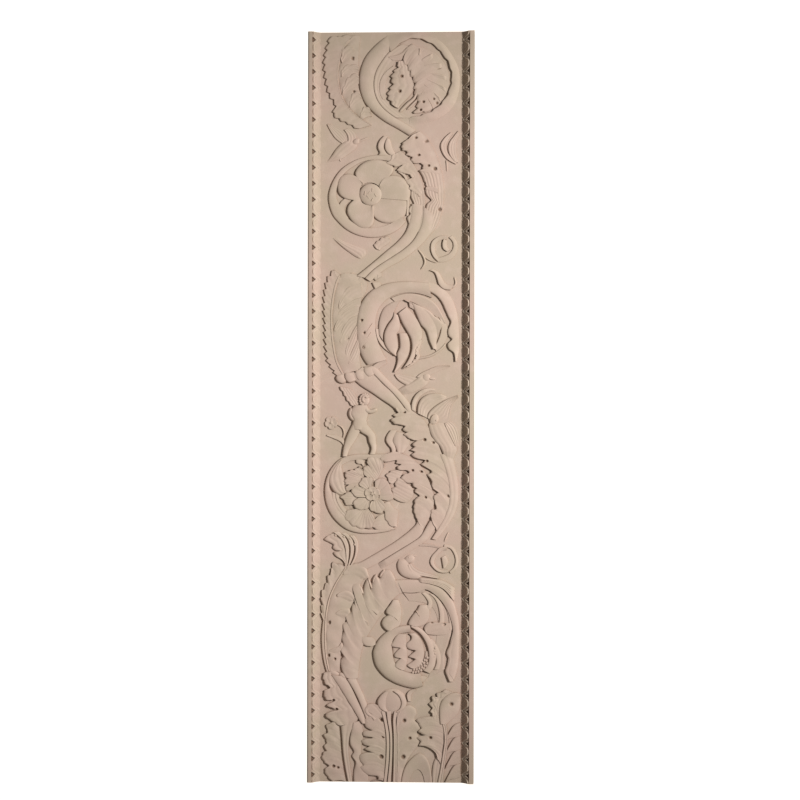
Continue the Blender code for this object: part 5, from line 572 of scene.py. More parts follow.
def scroll_four(bm):
    # the stem from the fifth scroll, in two channels
    flap(bm,
         [(-140, -508), (-100, -497), (-60, -475), (-20, -451), (12, -431), (42, -409), (66, -389),
          (82, -370), (84, -350)],
         [(-130, -536), (-88, -522), (-46, -501), (-6, -477), (26, -457), (64, -434), (90, -416),
          (103, -398), (106, -376)], rise=(11, 8), swell=3, cols=16)
    flap(bm,
         [(-40, -500), (-6, -478), (28, -457), (66, -433), (92, -415), (104, -398), (116, -376),
          (124, -362)],
         [(-30, -518), (10, -494), (50, -470), (88, -444), (116, -424), (132, -402), (146, -384),
          (158, -370)], rise=(11, 4), swell=4, taper=(0.1, 0))
    # the round that turns in on itself
    outer = [(20, -150), (-60, -150), (-120, -152), (-160, -164), (-184, -186), (-202, -216),
             (-211, -250), (-212, -284), (-205, -318), (-190, -348), (-168, -373), (-140, -393),
             (-100, -404), (-50, -404), (0, -396)]
    flap(bm, outer,
         [(10, -168), (-50, -168), (-104, -168), (-140, -176), (-170, -196), (-190, -222), (-197, -250),
          (-190, -276), (-176, -304), (-164, -326), (-148, -350), (-126, -370), (-92, -388), (-50, -392),
          (0, -386)], rise=(10, 9), swell=2.5, cols=14)
    flap(bm,
         [(-160, -168), (-184, -196), (-198, -222), (-200, -240), (-192, -258), (-182, -272),
          (-164, -282), (-148, -276)],
         [(-152, -170), (-158, -190), (-154, -210), (-150, -226), (-148, -240), (-148, -252),
          (-146, -264), (-142, -272)], rise=(14, 9), swell=3, lines=3, cut=0.9, cols=20)
    for shift in (0, 11, 22):
        flap(bm,
             [(-200 + shift, -268 - shift / 3), (-196 + shift, -300), (-180 + shift, -330),
              (-158 + shift, -352)],
             [(-188 + shift, -272 - shift / 3), (-184 + shift, -300), (-168 + shift, -324),
              (-148 + shift, -344)], rise=(11.5, 8), cols=8)
    # the loose rosette: its outer leaves, then its heart, each from its rim in to its root
    blob(bm, -56, -280, 176, 178, 0, rise=4)
    outer_leaves = (([(-109, -160), (-113, -176), (-105, -182), (-98, -174)],
                     [(-91, -158), (-88, -168), (-85, -180), (-88, -190)], (9, 5), 0),
                    ([(16, -200), (-4, -207), (-14, -218), (-8, -232), (-2, -245)],
                     [(40, -206), (34, -218), (28, -228), (20, -236), (8, -244)], (12, 7), 3),
                    ([(37, -228), (22, -228), (15, -238), (14, -252), (4, -262), (6, -280), (10, -292)],
                     [(50, -246), (66, -254), (72, -268), (72, -282), (62, -296), (50, -304), (33, -303)],
                     (12, 8), 4),
                    ([(-20, -187), (-27, -170), (-41, -161), (-63, -157), (-75, -166), (-77, -176),
                      (-66, -181), (-80, -188), (-89, -200), (-86, -214), (-76, -222)],
                     [(-24, -200), (-28, -206), (-33, -214), (-38, -222), (-42, -228), (-46, -232),
                      (-50, -236), (-53, -237), (-56, -238), (-58, -238), (-60, -238)], (13, 9), 6),
                    ([(-91, -197), (-102, -191), (-116, -200), (-130, -202), (-147, -212), (-144, -226),
                      (-148, -237), (-146, -248), (-137, -248), (-147, -262), (-139, -268), (-121, -258)],
                     [(-84, -214), (-84, -218), (-86, -222), (-88, -226), (-89, -230), (-90, -234),
                      (-91, -238), (-92, -242), (-93, -245), (-94, -248), (-95, -251), (-96, -254)],
                     (13, 9), 10),
                    ([(-128, -270), (-148, -278), (-161, -290), (-148, -300), (-147, -312), (-128, -313)],
                     [(-112, -276), (-110, -283), (-109, -290), (-109, -297), (-110, -304), (-112, -311)],
                     (11, 8), 4),
                    ([(-20, -304), (-22, -330), (-17, -354), (-6, -375), (16, -383)],
                     [(-4, -302), (10, -322), (24, -333), (22, -356), (19, -382)], (12, 8), 3),
                    ([(-44, -350), (-60, -380), (-52, -388), (-34, -394)],
                     [(-20, -340), (-10, -366), (2, -380), (16, -391)], (11, 7), 3),
                    ([(-120, -328), (-138, -331), (-148, -346), (-143, -362), (-130, -374), (-113, -383),
                      (-96, -388), (-78, -389), (-61, -385), (-52, -368), (-54, -347)],
                     [(-92, -322), (-90, -323), (-88, -324), (-87, -324), (-86, -325), (-84, -325),
                      (-82, -325), (-80, -325), (-78, -324), (-76, -323), (-74, -322)], (13, 10), 6))
    heart = (([(-50, -234), (-34, -228), (-12, -233), (-2, -254), (9, -288), (-4, -300)],
              [(-50, -260), (-44, -260), (-38, -266), (-36, -276), (-36, -288), (-38, -294)], (15, 11)),
             ([(-60, -240), (-56, -232), (-64, -225), (-78, -224), (-93, -230), (-101, -247),
               (-92, -256)],
              [(-60, -254), (-62, -255), (-65, -256), (-68, -258), (-71, -260), (-74, -262), (-76, -264)],
              (16, 12)),
             ([(-94, -256), (-110, -252), (-121, -257), (-125, -268), (-121, -280), (-110, -287),
               (-98, -288)],
              [(-78, -264), (-80, -267), (-81, -270), (-82, -275), (-81, -280), (-80, -284), (-78, -288)],
              (16, 12)),
             ([(-104, -290), (-118, -302), (-117, -319), (-102, -327), (-80, -328), (-70, -319),
               (-67, -306)],
              [(-78, -290), (-77, -292), (-75, -294), (-73, -296), (-71, -297), (-69, -298), (-66, -298)],
              (16, 12)),
             ([(-66, -308), (-66, -326), (-48, -338), (-26, -337), (-16, -320), (-22, -302)],
              [(-60, -300), (-56, -300), (-52, -299), (-47, -297), (-43, -294), (-40, -290)], (15, 11)))
    for edge, root, rise, teeth in outer_leaves:
        flap(bm, edge, root, rise=rise, swell=2, teeth=teeth, tooth=5, veins=2 * teeth, cols=18, step=2.2)
    for edge, root, rise in heart:
        flap(bm, edge, root, rise=rise, swell=1.5, teeth=3, tooth=4, veins=5, cols=16, step=2)
    # its centre: five petals round a button, and loose beads
    for i in range(5):
        a = math.radians(20 + 72 * i)
        petal(bm, (-59 + 4 * math.cos(a), -277 + 4 * math.sin(a)),
              (-59 + 25 * math.cos(a), -277 + 23 * math.sin(a)), 13, 18, 3, rows=12, cols=11)
    blob(bm, -59, -277, 13, 12, rise=6, lift=12, segments=10, rings=7)
    for x, z, size in ((-68, -226, 8), (-54, -232, 8), (-34, -232, 8), (-86, -384, 7), (-88, -326, 7),
                       (-100, -324, 7)):
        bead(bm, x, z, size, size, 0, 4, 9)
    # the toothed leaf inside the right stem
    flap(bm,
         [(0, -146), (-16, -150), (-32, -156), (-34, -166), (-18, -175), (20, -170), (16, -178),
          (32, -184), (20, -192), (28, -201), (50, -202), (60, -209), (42, -215), (34, -226), (52, -242),
          (66, -238), (74, -254), (84, -259), (76, -268), (92, -284), (80, -292), (76, -310), (74, -330),
          (80, -350), (92, -374)],
         [(10, -140), (40, -150), (70, -166), (96, -188), (112, -214), (124, -240), (132, -262),
          (138, -282), (138, -310), (132, -334), (124, -352), (116, -368), (104, -392)], rise=(14, 10),
         swell=1, teeth=24, tooth=3, cols=24, step=2.2, folds=6, fold=1.8, veins=7, vein=1.0, bend=-0.2,
         eyes=((70, -202, 4), (98, -206, 4), (112, -288, 4), (14, -240, 5), (-6, -206, 4)))
    # the great leaf that leans out to the right
    flap(bm,
         [(12, -2), (22, -18), (6, -26), (16, -32), (2, -39), (10, -52), (34, -57), (46, -62), (38, -72),
          (52, -81), (42, -86), (56, -98), (76, -106), (100, -104), (80, -108), (70, -122), (78, -127),
          (64, -136), (76, -143), (67, -153), (84, -164), (112, -170), (98, -182), (112, -192),
          (132, -206), (118, -216), (130, -232), (134, -258), (152, -273), (138, -282), (142, -306),
          (146, -326), (132, -326), (128, -346), (136, -373)],
         [(58, -6), (92, -28), (118, -58), (130, -94), (148, -112), (160, -140), (172, -172), (184, -214),
          (192, -262), (190, -300), (182, -334), (168, -366), (148, -396)], rise=(15, 9), swell=1,
         teeth=34, tooth=3, cols=26, step=2.2, folds=7, fold=1.8, veins=9, vein=1.0, bend=-0.2,
         eyes=((108, -104, 5), (136, -113, 4), (116, -172, 4), (184, -284, 4), (44, -16, 4)))
    flap(bm,
         [(152, -150), (168, -186), (180, -228), (186, -272), (184, -310), (172, -346), (152, -384),
          (130, -420)],
         [(196, -150), (206, -190), (214, -232), (217, -276), (212, -318), (196, -356), (172, -392),
          (146, -424)], rise=(11, 4), swell=3, lines=2, cut=0.8, cols=16)
    stem(bm, [(186, -398, 2, 4), (178, -414, 3, 6), (171, -432, 2, 4)])
    # the curled rim at its head, and the leaf that it wraps
    flap(bm, [(66, -14), (66, 12), (77, 38), (97, 55), (122, 61), (142, 58)],
         [(80, -18), (80, 8), (90, 30), (106, 44), (124, 52), (142, 52)], rise=(13, 9), swell=2,
         taper=(0.05, 0.3))
    flap(bm, [(84, -18), (86, 6), (97, 28), (118, 41), (142, 45), (162, 42), (178, 35)],
         [(116, -34), (118, -20), (126, -8), (140, 4), (154, 14), (166, 22), (178, 29)], rise=(12, 4),
         swell=2, lines=4, cut=1.0, cols=20, taper=(0.0, 0.15))
    # the pod between the leaves
    flap(bm, [(-2, -74), (-13, -90), (-17, -106), (-10, -120), (0, -132), (2, -150)],
         [(20, -74), (10, -92), (6, -108), (12, -122), (16, -134), (14, -150)], rise=(12, 8), swell=2)
    flap(bm, [(14, -78), (6, -94), (6, -112), (14, -128), (20, -146)],
         [(60, -86), (62, -104), (58, -120), (50, -132), (40, -146)], rise=(10, 4), swell=3, lines=2)


def bird_right(bm):
    # raised wing, behind the head
    flap(bm, [(116, -34), (120, -20), (130, -7), (147, 7), (176, 24), (214, 39)],
         [(152, -52), (172, -50), (188, -42), (190, -22), (195, 4), (216, 30)], rise=(10, 3), lines=6,
         cut=1.2, cols=26)
    # body, with the folded wing over its back
    flap(bm, [(122, -50), (121, -70), (129, -92), (141, -110), (153, -122), (163, -142), (174, -170)],
         [(164, -46), (180, -64), (192, -88), (204, -112), (212, -134), (204, -156), (194, -178)],
         rise=(14, 7), swell=5, lines=4, cut=0.6, cols=22, taper=(0.15, 0.25))
    flap(bm, [(170, -50), (179, -75), (194, -104), (211, -134)],
         [(178, -40), (204, -56), (216, -82), (218, -116), (213, -138)], rise=(13, 4), lines=4, cut=1.3,
         cols=22, taper=(0.1, 0.15))
    # head turned down to the left, and the tail's edge
    blob(bm, 138, -38, 38, 30, 75, rise=10, lift=4, segments=20)
    stem(bm, [(128, -48, 1, 10), (129, -36, 2, 15), (135, -26, 2, 16), (146, -22, 1, 12)], cols=7)
    blade(bm, (133, -46), (121, -58), 8, 12)
    bead(bm, 145, -42, 7, 6, 0, 3, 13)
    stem(bm, [(212, -136, 2, 7), (200, -148, 3, 8), (190, -160, 2, 6)])


def putto(bm):
    # legs: the standing one, then the one that steps out
    flap(bm, [(-124, -54), (-136, -78), (-146, -104), (-153, -130), (-156, -158)],
         [(-92, -62), (-104, -88), (-118, -112), (-132, -134), (-140, -158)], rise=(13, 8), swell=5,
         cols=16)
    flap(bm, [(-112, -60), (-98, -80), (-76, -94), (-72, -110), (-64, -132), (-70, -152)],
         [(-78, -54), (-62, -72), (-50, -90), (-48, -108), (-46, -130), (-50, -150)], rise=(13, 7),
         swell=5, cols=16)
    # body, arms and head
    flap(bm, [(-118, 6), (-128, -8), (-132, -22), (-122, -38), (-124, -56), (-120, -72)],
         [(-76, 6), (-72, -10), (-74, -26), (-78, -42), (-76, -56), (-82, -72)], rise=(15, 9), swell=6,
         cols=18)
    stem(bm, [(-122, -2, 8, 14), (-130, -20, 8, 15), (-122, -38, 7, 14), (-106, -42, 5, 15)])
    stem(bm, [(-84, -4, 9, 15), (-70, -14, 8, 14), (-56, -12, 7, 13), (-44, -4, 5, 11)])
    blob(bm, -84, 22, 38, 32, 75, rise=12, lift=4, segments=20, rings=12)
    for i in range(9):
        a = math.radians(40 + 25 * i)
        bead(bm, -84 + 14 * math.cos(a), 23 + 17 * math.sin(a), 12, 9, 60, 6, 11)
        bead(bm, -83 + 7 * math.cos(a), 26 + 9 * math.sin(a), 10, 8, 20, 5, 15)
    stem(bm, [(-103, -14, 2, 2), (-104, -26, 2.5, 3)], cols=5, lift=13)
    # wing
    flap(bm, [(-166, 66), (-152, 44), (-140, 22), (-122, 2)],
         [(-128, 58), (-116, 42), (-104, 26), (-98, 10)], rise=(10, 5), lines=4, cut=0.9, teeth=4,
         tooth=4, cols=20)


def flower_left(bm):
    for i in range(5):
        a = math.radians(54 + 72 * i)
        petal(bm, (-191, -50), (-191 + 21 * math.cos(a), -50 + 21 * math.sin(a)), 11, 9, 3, rows=10,
              cols=9)
    bead(bm, -191, -50, 11, 11, 0, 6, 5)
    stem(bm, [(-174, -56, 2, 5), (-156, -66, 3, 8), (-150, -86, 3, 8), (-158, -104, 2, 5)], cols=7)
    flap(bm, [(-206, -92), (-184, -101), (-160, -113), (-150, -126)],
         [(-204, -88), (-178, -90), (-156, -98), (-146, -116)], rise=(8, 4))


def stalks_middle(bm):
    # from the third scroll's node down to the fourth's leaves, in two channels
    flap(bm, [(-136, 92), (-116, 83), (-95, 66), (-60, 44), (-28, 22), (2, 2), (26, -20)],
         [(-92, 128), (-66, 113), (-48, 97), (-24, 72), (2, 48), (28, 18), (50, -12)], rise=(12, 9),
         swell=3, cols=16)
    flap(bm, [(-78, 126), (-64, 113), (-46, 95), (-22, 71), (4, 46), (30, 16), (52, -14)],
         [(-50, 134), (-38, 118), (-20, 98), (4, 74), (30, 48), (54, 20), (72, -10)], rise=(12, 5),
         swell=3, cols=14)


def bird_middle(bm):
    # body, head and beak
    flap(bm, [(20, 54), (38, 66), (58, 76), (80, 90), (104, 110)],
         [(40, 40), (66, 46), (92, 58), (112, 70), (124, 90)], rise=(9, 4), swell=4, lines=3, cut=0.5,
         cols=20, taper=(0.25, 0.2))
    blob(bm, 112, 95, 30, 26, 30, rise=10)
    blade(bm, (124, 92), (142, 90), 8, 7)
    # wing at the left, and the long one at the right
    flap(bm, [(12, 104), (18, 92), (28, 82), (50, 69)], [(14, 106), (36, 104), (62, 100), (88, 92)],
         rise=(9, 4), lines=3, cut=0.8, cols=18)
    flap(bm, [(80, 95), (94, 108), (114, 118), (148, 131), (188, 133)],
         [(108, 96), (128, 104), (152, 116), (176, 124), (190, 130)], rise=(9, 3), lines=4, cut=0.7,
         cols=18)


def scroll_three(bm):
    # the calyx leaf at the left: toothed outer side, midrib and long inner lobes
    rib = [(-150, 100), (-172, 140), (-184, 190), (-190, 245), (-191, 300), (-186, 350), (-176, 395),
           (-164, 424)]
    flap(bm,
         [(-172, 98), (-190, 124), (-204, 150), (-210, 190), (-212, 235), (-214, 285), (-216, 335),
          (-212, 375), (-203, 412), (-182, 440)], rib, rise=(9, 8), teeth=16, tooth=10, folds=16,
         fold=0.8, veins=16, vein=0.4, step=2.5)
    flap(bm, [(-182, 440), (-166, 416), (-150, 424), (-138, 418), (-126, 430), (-112, 410), (-96, 424)],
         [(-176, 400), (-160, 396), (-146, 398), (-132, 400), (-118, 396), (-104, 390), (-84, 384)],
         rise=(10, 7), step=2.5)
    stem(bm, [(x, z, 4.0, 12) for x, z in rib], cols=7, flutes=2, cut=1.5)
    flap(bm, rib,
         [(-96, 112), (-100, 150), (-108, 200), (-112, 250), (-108, 300), (-98, 340), (-80, 370),
          (-76, 400)], rise=(8, 6), swell=3, folds=5, fold=1.6, veins=9, vein=0.6, bend=0.3, cols=22,
         eyes=((-140, 222, 5),))
    lobes = (((-170, 300), (-164, 350), (-138, 388), (-96, 402), (-92, 352), (-130, 330)),
             ((-176, 286), (-160, 316), (-124, 344), (-94, 352), (-98, 322), (-140, 300)),
             ((-186, 230), (-174, 280), (-140, 316), (-100, 326), (-106, 290), (-140, 262)),
             ((-164, 190), (-162, 240), (-136, 284), (-106, 296), (-110, 262), (-136, 222)),
             ((-146, 138), (-146, 190), (-128, 236), (-110, 266), (-106, 226), (-116, 180)),
             ((-140, 128), (-132, 168), (-116, 204), (-104, 226), (-98, 190), (-106, 150)))
    for root, low, bend, tip, back, hollow in lobes:
        flap(bm, [root, low, bend, tip], [root, hollow, back], rise=(11, 7), swell=2, lines=4, cut=0.9,
             cols=20, taper=(0.15, 0))
    # the fat lobes of the node
    knobs = (([(-171, 106), (-178, 92), (-170, 80), (-152, 74)],
              [(-150, 110), (-145, 99), (-141, 90), (-140, 82)], 13),
             ([(-146, 114), (-150, 98), (-144, 84), (-130, 76)],
              [(-118, 114), (-113, 101), (-111, 90), (-114, 82)], 16),
             ([(-112, 122), (-116, 104), (-110, 90), (-98, 82)],
              [(-88, 120), (-83, 107), (-81, 97), (-84, 88)], 15),
             ([(-87, 130), (-88, 114), (-79, 101), (-66, 94)],
              [(-58, 134), (-53, 122), (-51, 112), (-52, 102)], 14))
    for edge, back, rise in knobs:
        flap(bm, edge, back, rise=(rise, rise - 5), swell=4, cols=16, taper=(0.2, 0.15))
    flap(bm, [(-64, 128), (-48, 141), (-34, 147), (-18, 151)],
         [(-52, 112), (-40, 122), (-28, 131), (-12, 140)], rise=(12, 5), lines=2)
    # the stem that grows into the bell
    outer = [(-76, 134), (-92, 158), (-104, 192), (-111, 232), (-111, 272), (-104, 312), (-90, 344),
             (-62, 374), (-20, 394), (30, 402), (80, 402), (120, 398)]
    inner = [(-14, 152), (-30, 180), (-42, 210), (-50, 245), (-50, 280), (-42, 310), (-24, 336), (0, 354),
             (30, 364), (70, 366), (104, 360), (130, 350)]
    flap(bm, outer, inner, rise=(12, 8), swell=6, cols=20,
         eyes=((-94, 278, 4), (-85, 238, 4), (-88, 192, 4)))
    for x, z in ((-92, 272), (-82, 236), (-86, 196), (-76, 222), (-72, 250)):
        stem(bm, [(x - 6, z - 14, 1.5, 14), (x + 2, z + 2, 3, 17), (x + 16, z + 22, 1.5, 15)], cols=5)
    flap(bm, [(-50, 250), (-44, 220), (-30, 196), (-8, 176), (16, 162)],
         [(-40, 250), (-34, 224), (-20, 202), (0, 184), (20, 170)], rise=(9, 4))
    # the mouth of the bell and its waved lip
    flap(bm,
         [(20, 384), (60, 384), (92, 380), (122, 369), (146, 354), (162, 334), (173, 310), (183, 288),
          (191, 270), (181, 245), (183, 228), (194, 216), (180, 202), (184, 186), (200, 174), (204, 160),
          (206, 146)],
         [(30, 402), (84, 404), (130, 398), (164, 382), (190, 354), (206, 318), (214, 284), (217, 250),
          (218, 220), (219, 196), (216, 170), (210, 146)], rise=(14, 3), swell=2.5, step=2.5, cols=18)
    flap(bm, [(0, 350), (36, 362), (70, 364), (104, 356), (130, 342), (150, 322), (164, 296), (176, 268)],
         [(14, 336), (44, 342), (68, 336), (92, 324), (112, 314), (130, 300), (146, 288), (164, 270)],
         rise=(9, 4))
    # five flame-shaped folds
    flap(bm, [(-40, 236), (-38, 280), (-24, 316), (0, 334), (30, 344)],
         [(-26, 214), (-24, 240), (-12, 266), (4, 288), (8, 304)], rise=(6, 10), swell=2)
    flap(bm, [(8, 304), (4, 284), (-10, 264), (-22, 238), (-22, 206), (-8, 180), (14, 164)],
         [(22, 294), (28, 270), (26, 246), (18, 236), (20, 216), (22, 196), (16, 170)], rise=(14, 9),
         swell=3, cols=16)
    flap(bm, [(24, 236), (27, 212), (27, 190), (19, 172), (20, 150), (16, 130), (10, 114)],
         [(50, 236), (58, 218), (60, 194), (56, 170), (44, 148), (30, 130), (14, 112)], rise=(14, 9),
         swell=3, cols=16)
    flap(bm, [(22, 298), (36, 266), (50, 242), (62, 220), (66, 195), (63, 170), (52, 146), (36, 124)],
         [(50, 320), (78, 288), (92, 264), (100, 240), (96, 214), (84, 194), (78, 168), (66, 140)],
         rise=(15, 9), swell=3, cols=18)
    flap(bm, [(40, 344), (60, 337), (78, 300), (94, 264), (110, 246), (118, 226), (122, 212), (134, 186)],
         [(80, 324), (100, 320), (122, 308), (140, 290), (150, 266), (150, 238), (146, 212), (146, 186)],
         rise=(14, 8), swell=3, cols=18)
    flap(bm, [(58, 338), (82, 324), (102, 319), (122, 309), (136, 294), (152, 284), (168, 268)],
         [(60, 320), (84, 306), (100, 296), (118, 284), (130, 268), (140, 252), (150, 230)], rise=(12, 9),
         swell=1)
    flap(bm, [(150, 290), (160, 270), (158, 240), (150, 214), (138, 190)],
         [(176, 270), (182, 250), (180, 226), (168, 200), (146, 178)], rise=(9, 4))
    # the serrated fringe and the bell's lower edge
    flap(bm, [(92, 216), (84, 196), (79, 176), (81, 160), (70, 146), (60, 136), (38, 122)],
         [(100, 214), (94, 196), (90, 176), (92, 160), (82, 146), (70, 136), (48, 124)], rise=(12, 6),
         teeth=9, tooth=6, step=2, cols=8)
    stem(bm, [(60, 146, 3, 6), (90, 156, 4, 7), (125, 164, 4, 8), (155, 182, 4, 8), (176, 204, 4, 8)],
         cols=7)


def stems_upper(bm):
    # the channelled stem between scrolls three and two
    high = [(-112, 420), (-62, 460), (-20, 496), (20, 530), (46, 562), (58, 600), (64, 650)]
    middle = [(-84, 414), (-50, 446), (0, 479), (40, 506), (68, 532), (86, 562), (97, 595), (100, 645)]
    low = [(-66, 402), (-20, 440), (30, 468), (74, 500), (108, 532), (132, 570), (142, 610)]
    flap(bm, high, middle, rise=(11, 9), swell=3)
    flap(bm, middle, low, rise=(12, 7), swell=4)
    flap(bm, [(-62, 398), (-56, 385), (-48, 372), (-40, 364)],
         [(-36, 400), (-30, 385), (-24, 372), (-20, 364)], rise=(11, 6))
    flap(bm, [(-60, 418), (-50, 404), (-44, 428)], [(-40, 434), (-30, 418), (-30, 430)], rise=(9, 6))


def scroll_two(bm):
    # the broad flat ring
    flap(bm,
         [(22, 806), (-30, 808), (-80, 802), (-125, 786), (-162, 760), (-188, 722), (-201, 680),
          (-199, 648), (-188, 615), (-168, 590), (-140, 566), (-104, 549), (-60, 542), (-15, 549),
          (20, 566), (46, 592)],
         [(10, 784), (-50, 792), (-90, 786), (-126, 768), (-152, 746), (-168, 722), (-176, 690),
          (-174, 664), (-160, 640), (-150, 620), (-134, 600), (-104, 580), (-60, 572), (-20, 580),
          (10, 594), (30, 612)], rise=(9, 8), swell=2, cols=18)
    # five petals round the button
    petals = (([(-110, 738), (-140, 747), (-163, 738), (-173, 712), (-169, 684), (-150, 668),
                (-122, 662)],
               [(-90, 714), (-95, 710), (-99, 702), (-101, 692), (-101, 682), (-100, 672), (-96, 664)]),
              ([(-90, 722), (-113, 738), (-116, 752), (-105, 770), (-84, 785), (-50, 793), (-12, 783),
                (8, 764), (0, 744), (-22, 734), (-34, 716)],
               [(-92, 710), (-88, 714), (-82, 716), (-76, 718), (-70, 718), (-62, 718), (-54, 716),
                (-48, 713), (-42, 709), (-38, 705), (-35, 700)]),
              ([(-122, 662), (-139, 644), (-142, 622), (-132, 602), (-118, 586), (-98, 573), (-74, 572),
                (-58, 586), (-55, 610), (-60, 640)],
               [(-98, 664), (-94, 656), (-90, 652), (-86, 650), (-82, 648), (-78, 647), (-74, 646),
                (-70, 645), (-66, 645), (-62, 645)]),
              ([(-60, 640), (-58, 614), (-44, 598), (-18, 589), (14, 592), (40, 608), (54, 640),
                (50, 664)],
               [(-60, 646), (-56, 647), (-50, 650), (-44, 653), (-40, 657), (-37, 662), (-35, 667),
                (-33, 672)]),
              ([(-36, 712), (-24, 733), (0, 742), (28, 738), (50, 722), (62, 690), (56, 660)],
               [(-38, 704), (-35, 698), (-33, 692), (-32, 686), (-32, 680), (-33, 674), (-34, 668)]))
    for (edge, root), rise in zip(petals, (14, 14, 14, 11, 15)):
        flap(bm, edge, root, rise=(rise, rise - 5), swell=2.5, cols=16, step=3)
    flap(bm, [(-150, 668), (-164, 655), (-168, 640), (-158, 622), (-146, 606)],
         [(-128, 662), (-142, 650), (-150, 636), (-146, 620), (-136, 604)], rise=(9, 6))
    for x, z in ((-90, 720), (-34, 714), (-108, 667)):
        bead(bm, x, z, 12, 9, 40, 5, 4)
    # the button
    blob(bm, -66, 680, 72, 70, 0, rise=11, lift=8, segments=24, rings=13)
    for x, z, turn in ((-84, 684, 80), (-70, 686, 50), (-74, 672, 130), (-60, 694, 85), (-50, 678, 125),
                       (-60, 664, 60)):
        reach_x, reach_z = 7 * math.cos(math.radians(turn)), 7 * math.sin(math.radians(turn))
        stem(bm, [(x - reach_x, z - reach_z, 2, 3), (x + reach_x, z + reach_z, 2, 3)], cols=5, lift=17.5)
    # the pod above the ring
    flap(bm, [(-24, 868), (-40, 850), (-44, 830), (-38, 814), (-44, 806)],
         [(-10, 866), (-20, 850), (-24, 830), (-16, 814), (-6, 806)], rise=(12, 8), swell=1.5)
    flap(bm, [(-14, 862), (-21, 845), (-21, 826), (-12, 812), (4, 802)],
         [(-4, 856), (0, 842), (4, 828), (10, 816), (18, 806)], rise=(11, 3), swell=3)
    # the toothed leaf over the ring, and its lower half
    flap(bm,
         [(2, 806), (-4, 788), (-19, 780), (6, 772), (16, 768), (36, 775), (19, 758), (38, 748),
          (58, 743), (65, 733), (46, 724), (52, 714), (61, 706), (56, 700), (74, 686), (92, 672)],
         [(30, 818), (46, 806), (60, 792), (72, 775), (84, 754), (92, 734), (100, 712), (106, 690)],
         rise=(13, 9), lines=3, cut=0.7, teeth=22, tooth=3, step=2.2, folds=5, fold=0.8)
    flap(bm,
         [(62, 690), (62, 672), (71, 648), (58, 640), (54, 626), (60, 618), (50, 606), (54, 590),
          (58, 572), (49, 553)], [(106, 690), (108, 664), (108, 636), (105, 610), (100, 586), (92, 562)],
         rise=(12, 10), lines=5, cut=1.1, cols=22, step=2.5)
    flap(bm, [(20, 752), (40, 736), (48, 712), (50, 680), (50, 640), (48, 612)],
         [(30, 756), (48, 740), (56, 712), (58, 680), (57, 640), (55, 612)], rise=(11, 8))
    # the great leaf at the right
    flap(bm,
         [(64, 868), (58, 860), (38, 846), (34, 832), (36, 822), (52, 817), (48, 807), (66, 799),
          (64, 788), (76, 779), (92, 782), (102, 767), (88, 754)],
         [(92, 882), (112, 864), (127, 840), (140, 815), (150, 790), (157, 765), (162, 745)],
         rise=(14, 6), swell=1.5, lines=2, cut=0.6, teeth=14, tooth=4, step=2.2, cols=22, folds=4,
         fold=1.0, eyes=((79, 861, 4), (113, 850, 5), (88, 806, 4), (120, 772, 4), (140, 762, 6)))
    flap(bm,
         [(88, 756), (100, 735), (107, 712), (112, 704), (108, 692), (113, 677), (127, 662), (114, 650),
          (108, 626), (98, 604), (106, 590), (92, 578), (96, 562)],
         [(162, 748), (166, 715), (168, 680), (165, 645), (158, 612), (146, 580), (132, 560), (118, 545)],
         rise=(12, 6), swell=2, lines=6, cut=1.2, cols=30, step=2.5, eyes=((155, 632, 6), (106, 716, 4)))
    flap(bm, [(112, 704), (130, 706), (150, 700)], [(110, 696), (128, 692), (150, 684)], rise=(14, 12))


def small_middle(bm):
    # insect at the left
    flap(bm, [(-188, 541), (-170, 524), (-152, 508), (-136, 496), (-114, 481), (-98, 474)],
         [(-172, 544), (-150, 530), (-120, 519), (-94, 510), (-80, 500), (-84, 484)], rise=(6, 3),
         swell=3, lines=3, cut=0.8, taper=(0.2, 0.1), cols=18)
    # lobed bud
    flap(bm, [(-50, 508), (-54, 521), (-42, 532), (-26, 543), (-8, 545)],
         [(-36, 502), (-32, 508), (-24, 514), (-12, 521), (-2, 532)], rise=(8, 4), swell=2, teeth=4,
         tooth=4, lines=2)
    # spiral tendril at the right
    flap(bm, [(150, 465), (134, 482), (126, 508), (131, 530), (152, 546), (180, 547)],
         [(158, 474), (146, 486), (140, 506), (143, 522), (158, 534), (178, 536)], rise=(10, 5), cols=10)
    flap(bm, [(148, 478), (168, 483), (186, 492), (197, 508), (197, 526), (184, 542)],
         [(148, 464), (176, 466), (200, 480), (212, 504), (211, 526), (196, 548)], rise=(7, 4), swell=1,
         cols=10)
    flap(bm, [(167, 538), (163, 521), (166, 506), (178, 497)],
         [(179, 532), (178, 518), (182, 508), (190, 504)], rise=(11, 5), swell=1)
    stem(bm, [(85, 505, 2, 5), (103, 482, 4, 9), (108, 462, 4, 9), (94, 439, 2, 5)], cols=7)
    stem(bm, [(96, 492, 2, 4), (120, 472, 3, 7), (150, 462, 3, 7)], cols=7)
    # small cup
    flap(bm, [(122, 437), (138, 430), (146, 412), (152, 392), (166, 378), (190, 374)],
         [(134, 441), (152, 431), (162, 414), (170, 400), (182, 391), (200, 390)], rise=(11, 5), swell=2)
    stem(bm, [(190, 380, 3, 6), (206, 393, 4, 8), (201, 418, 2, 5)], cols=7)


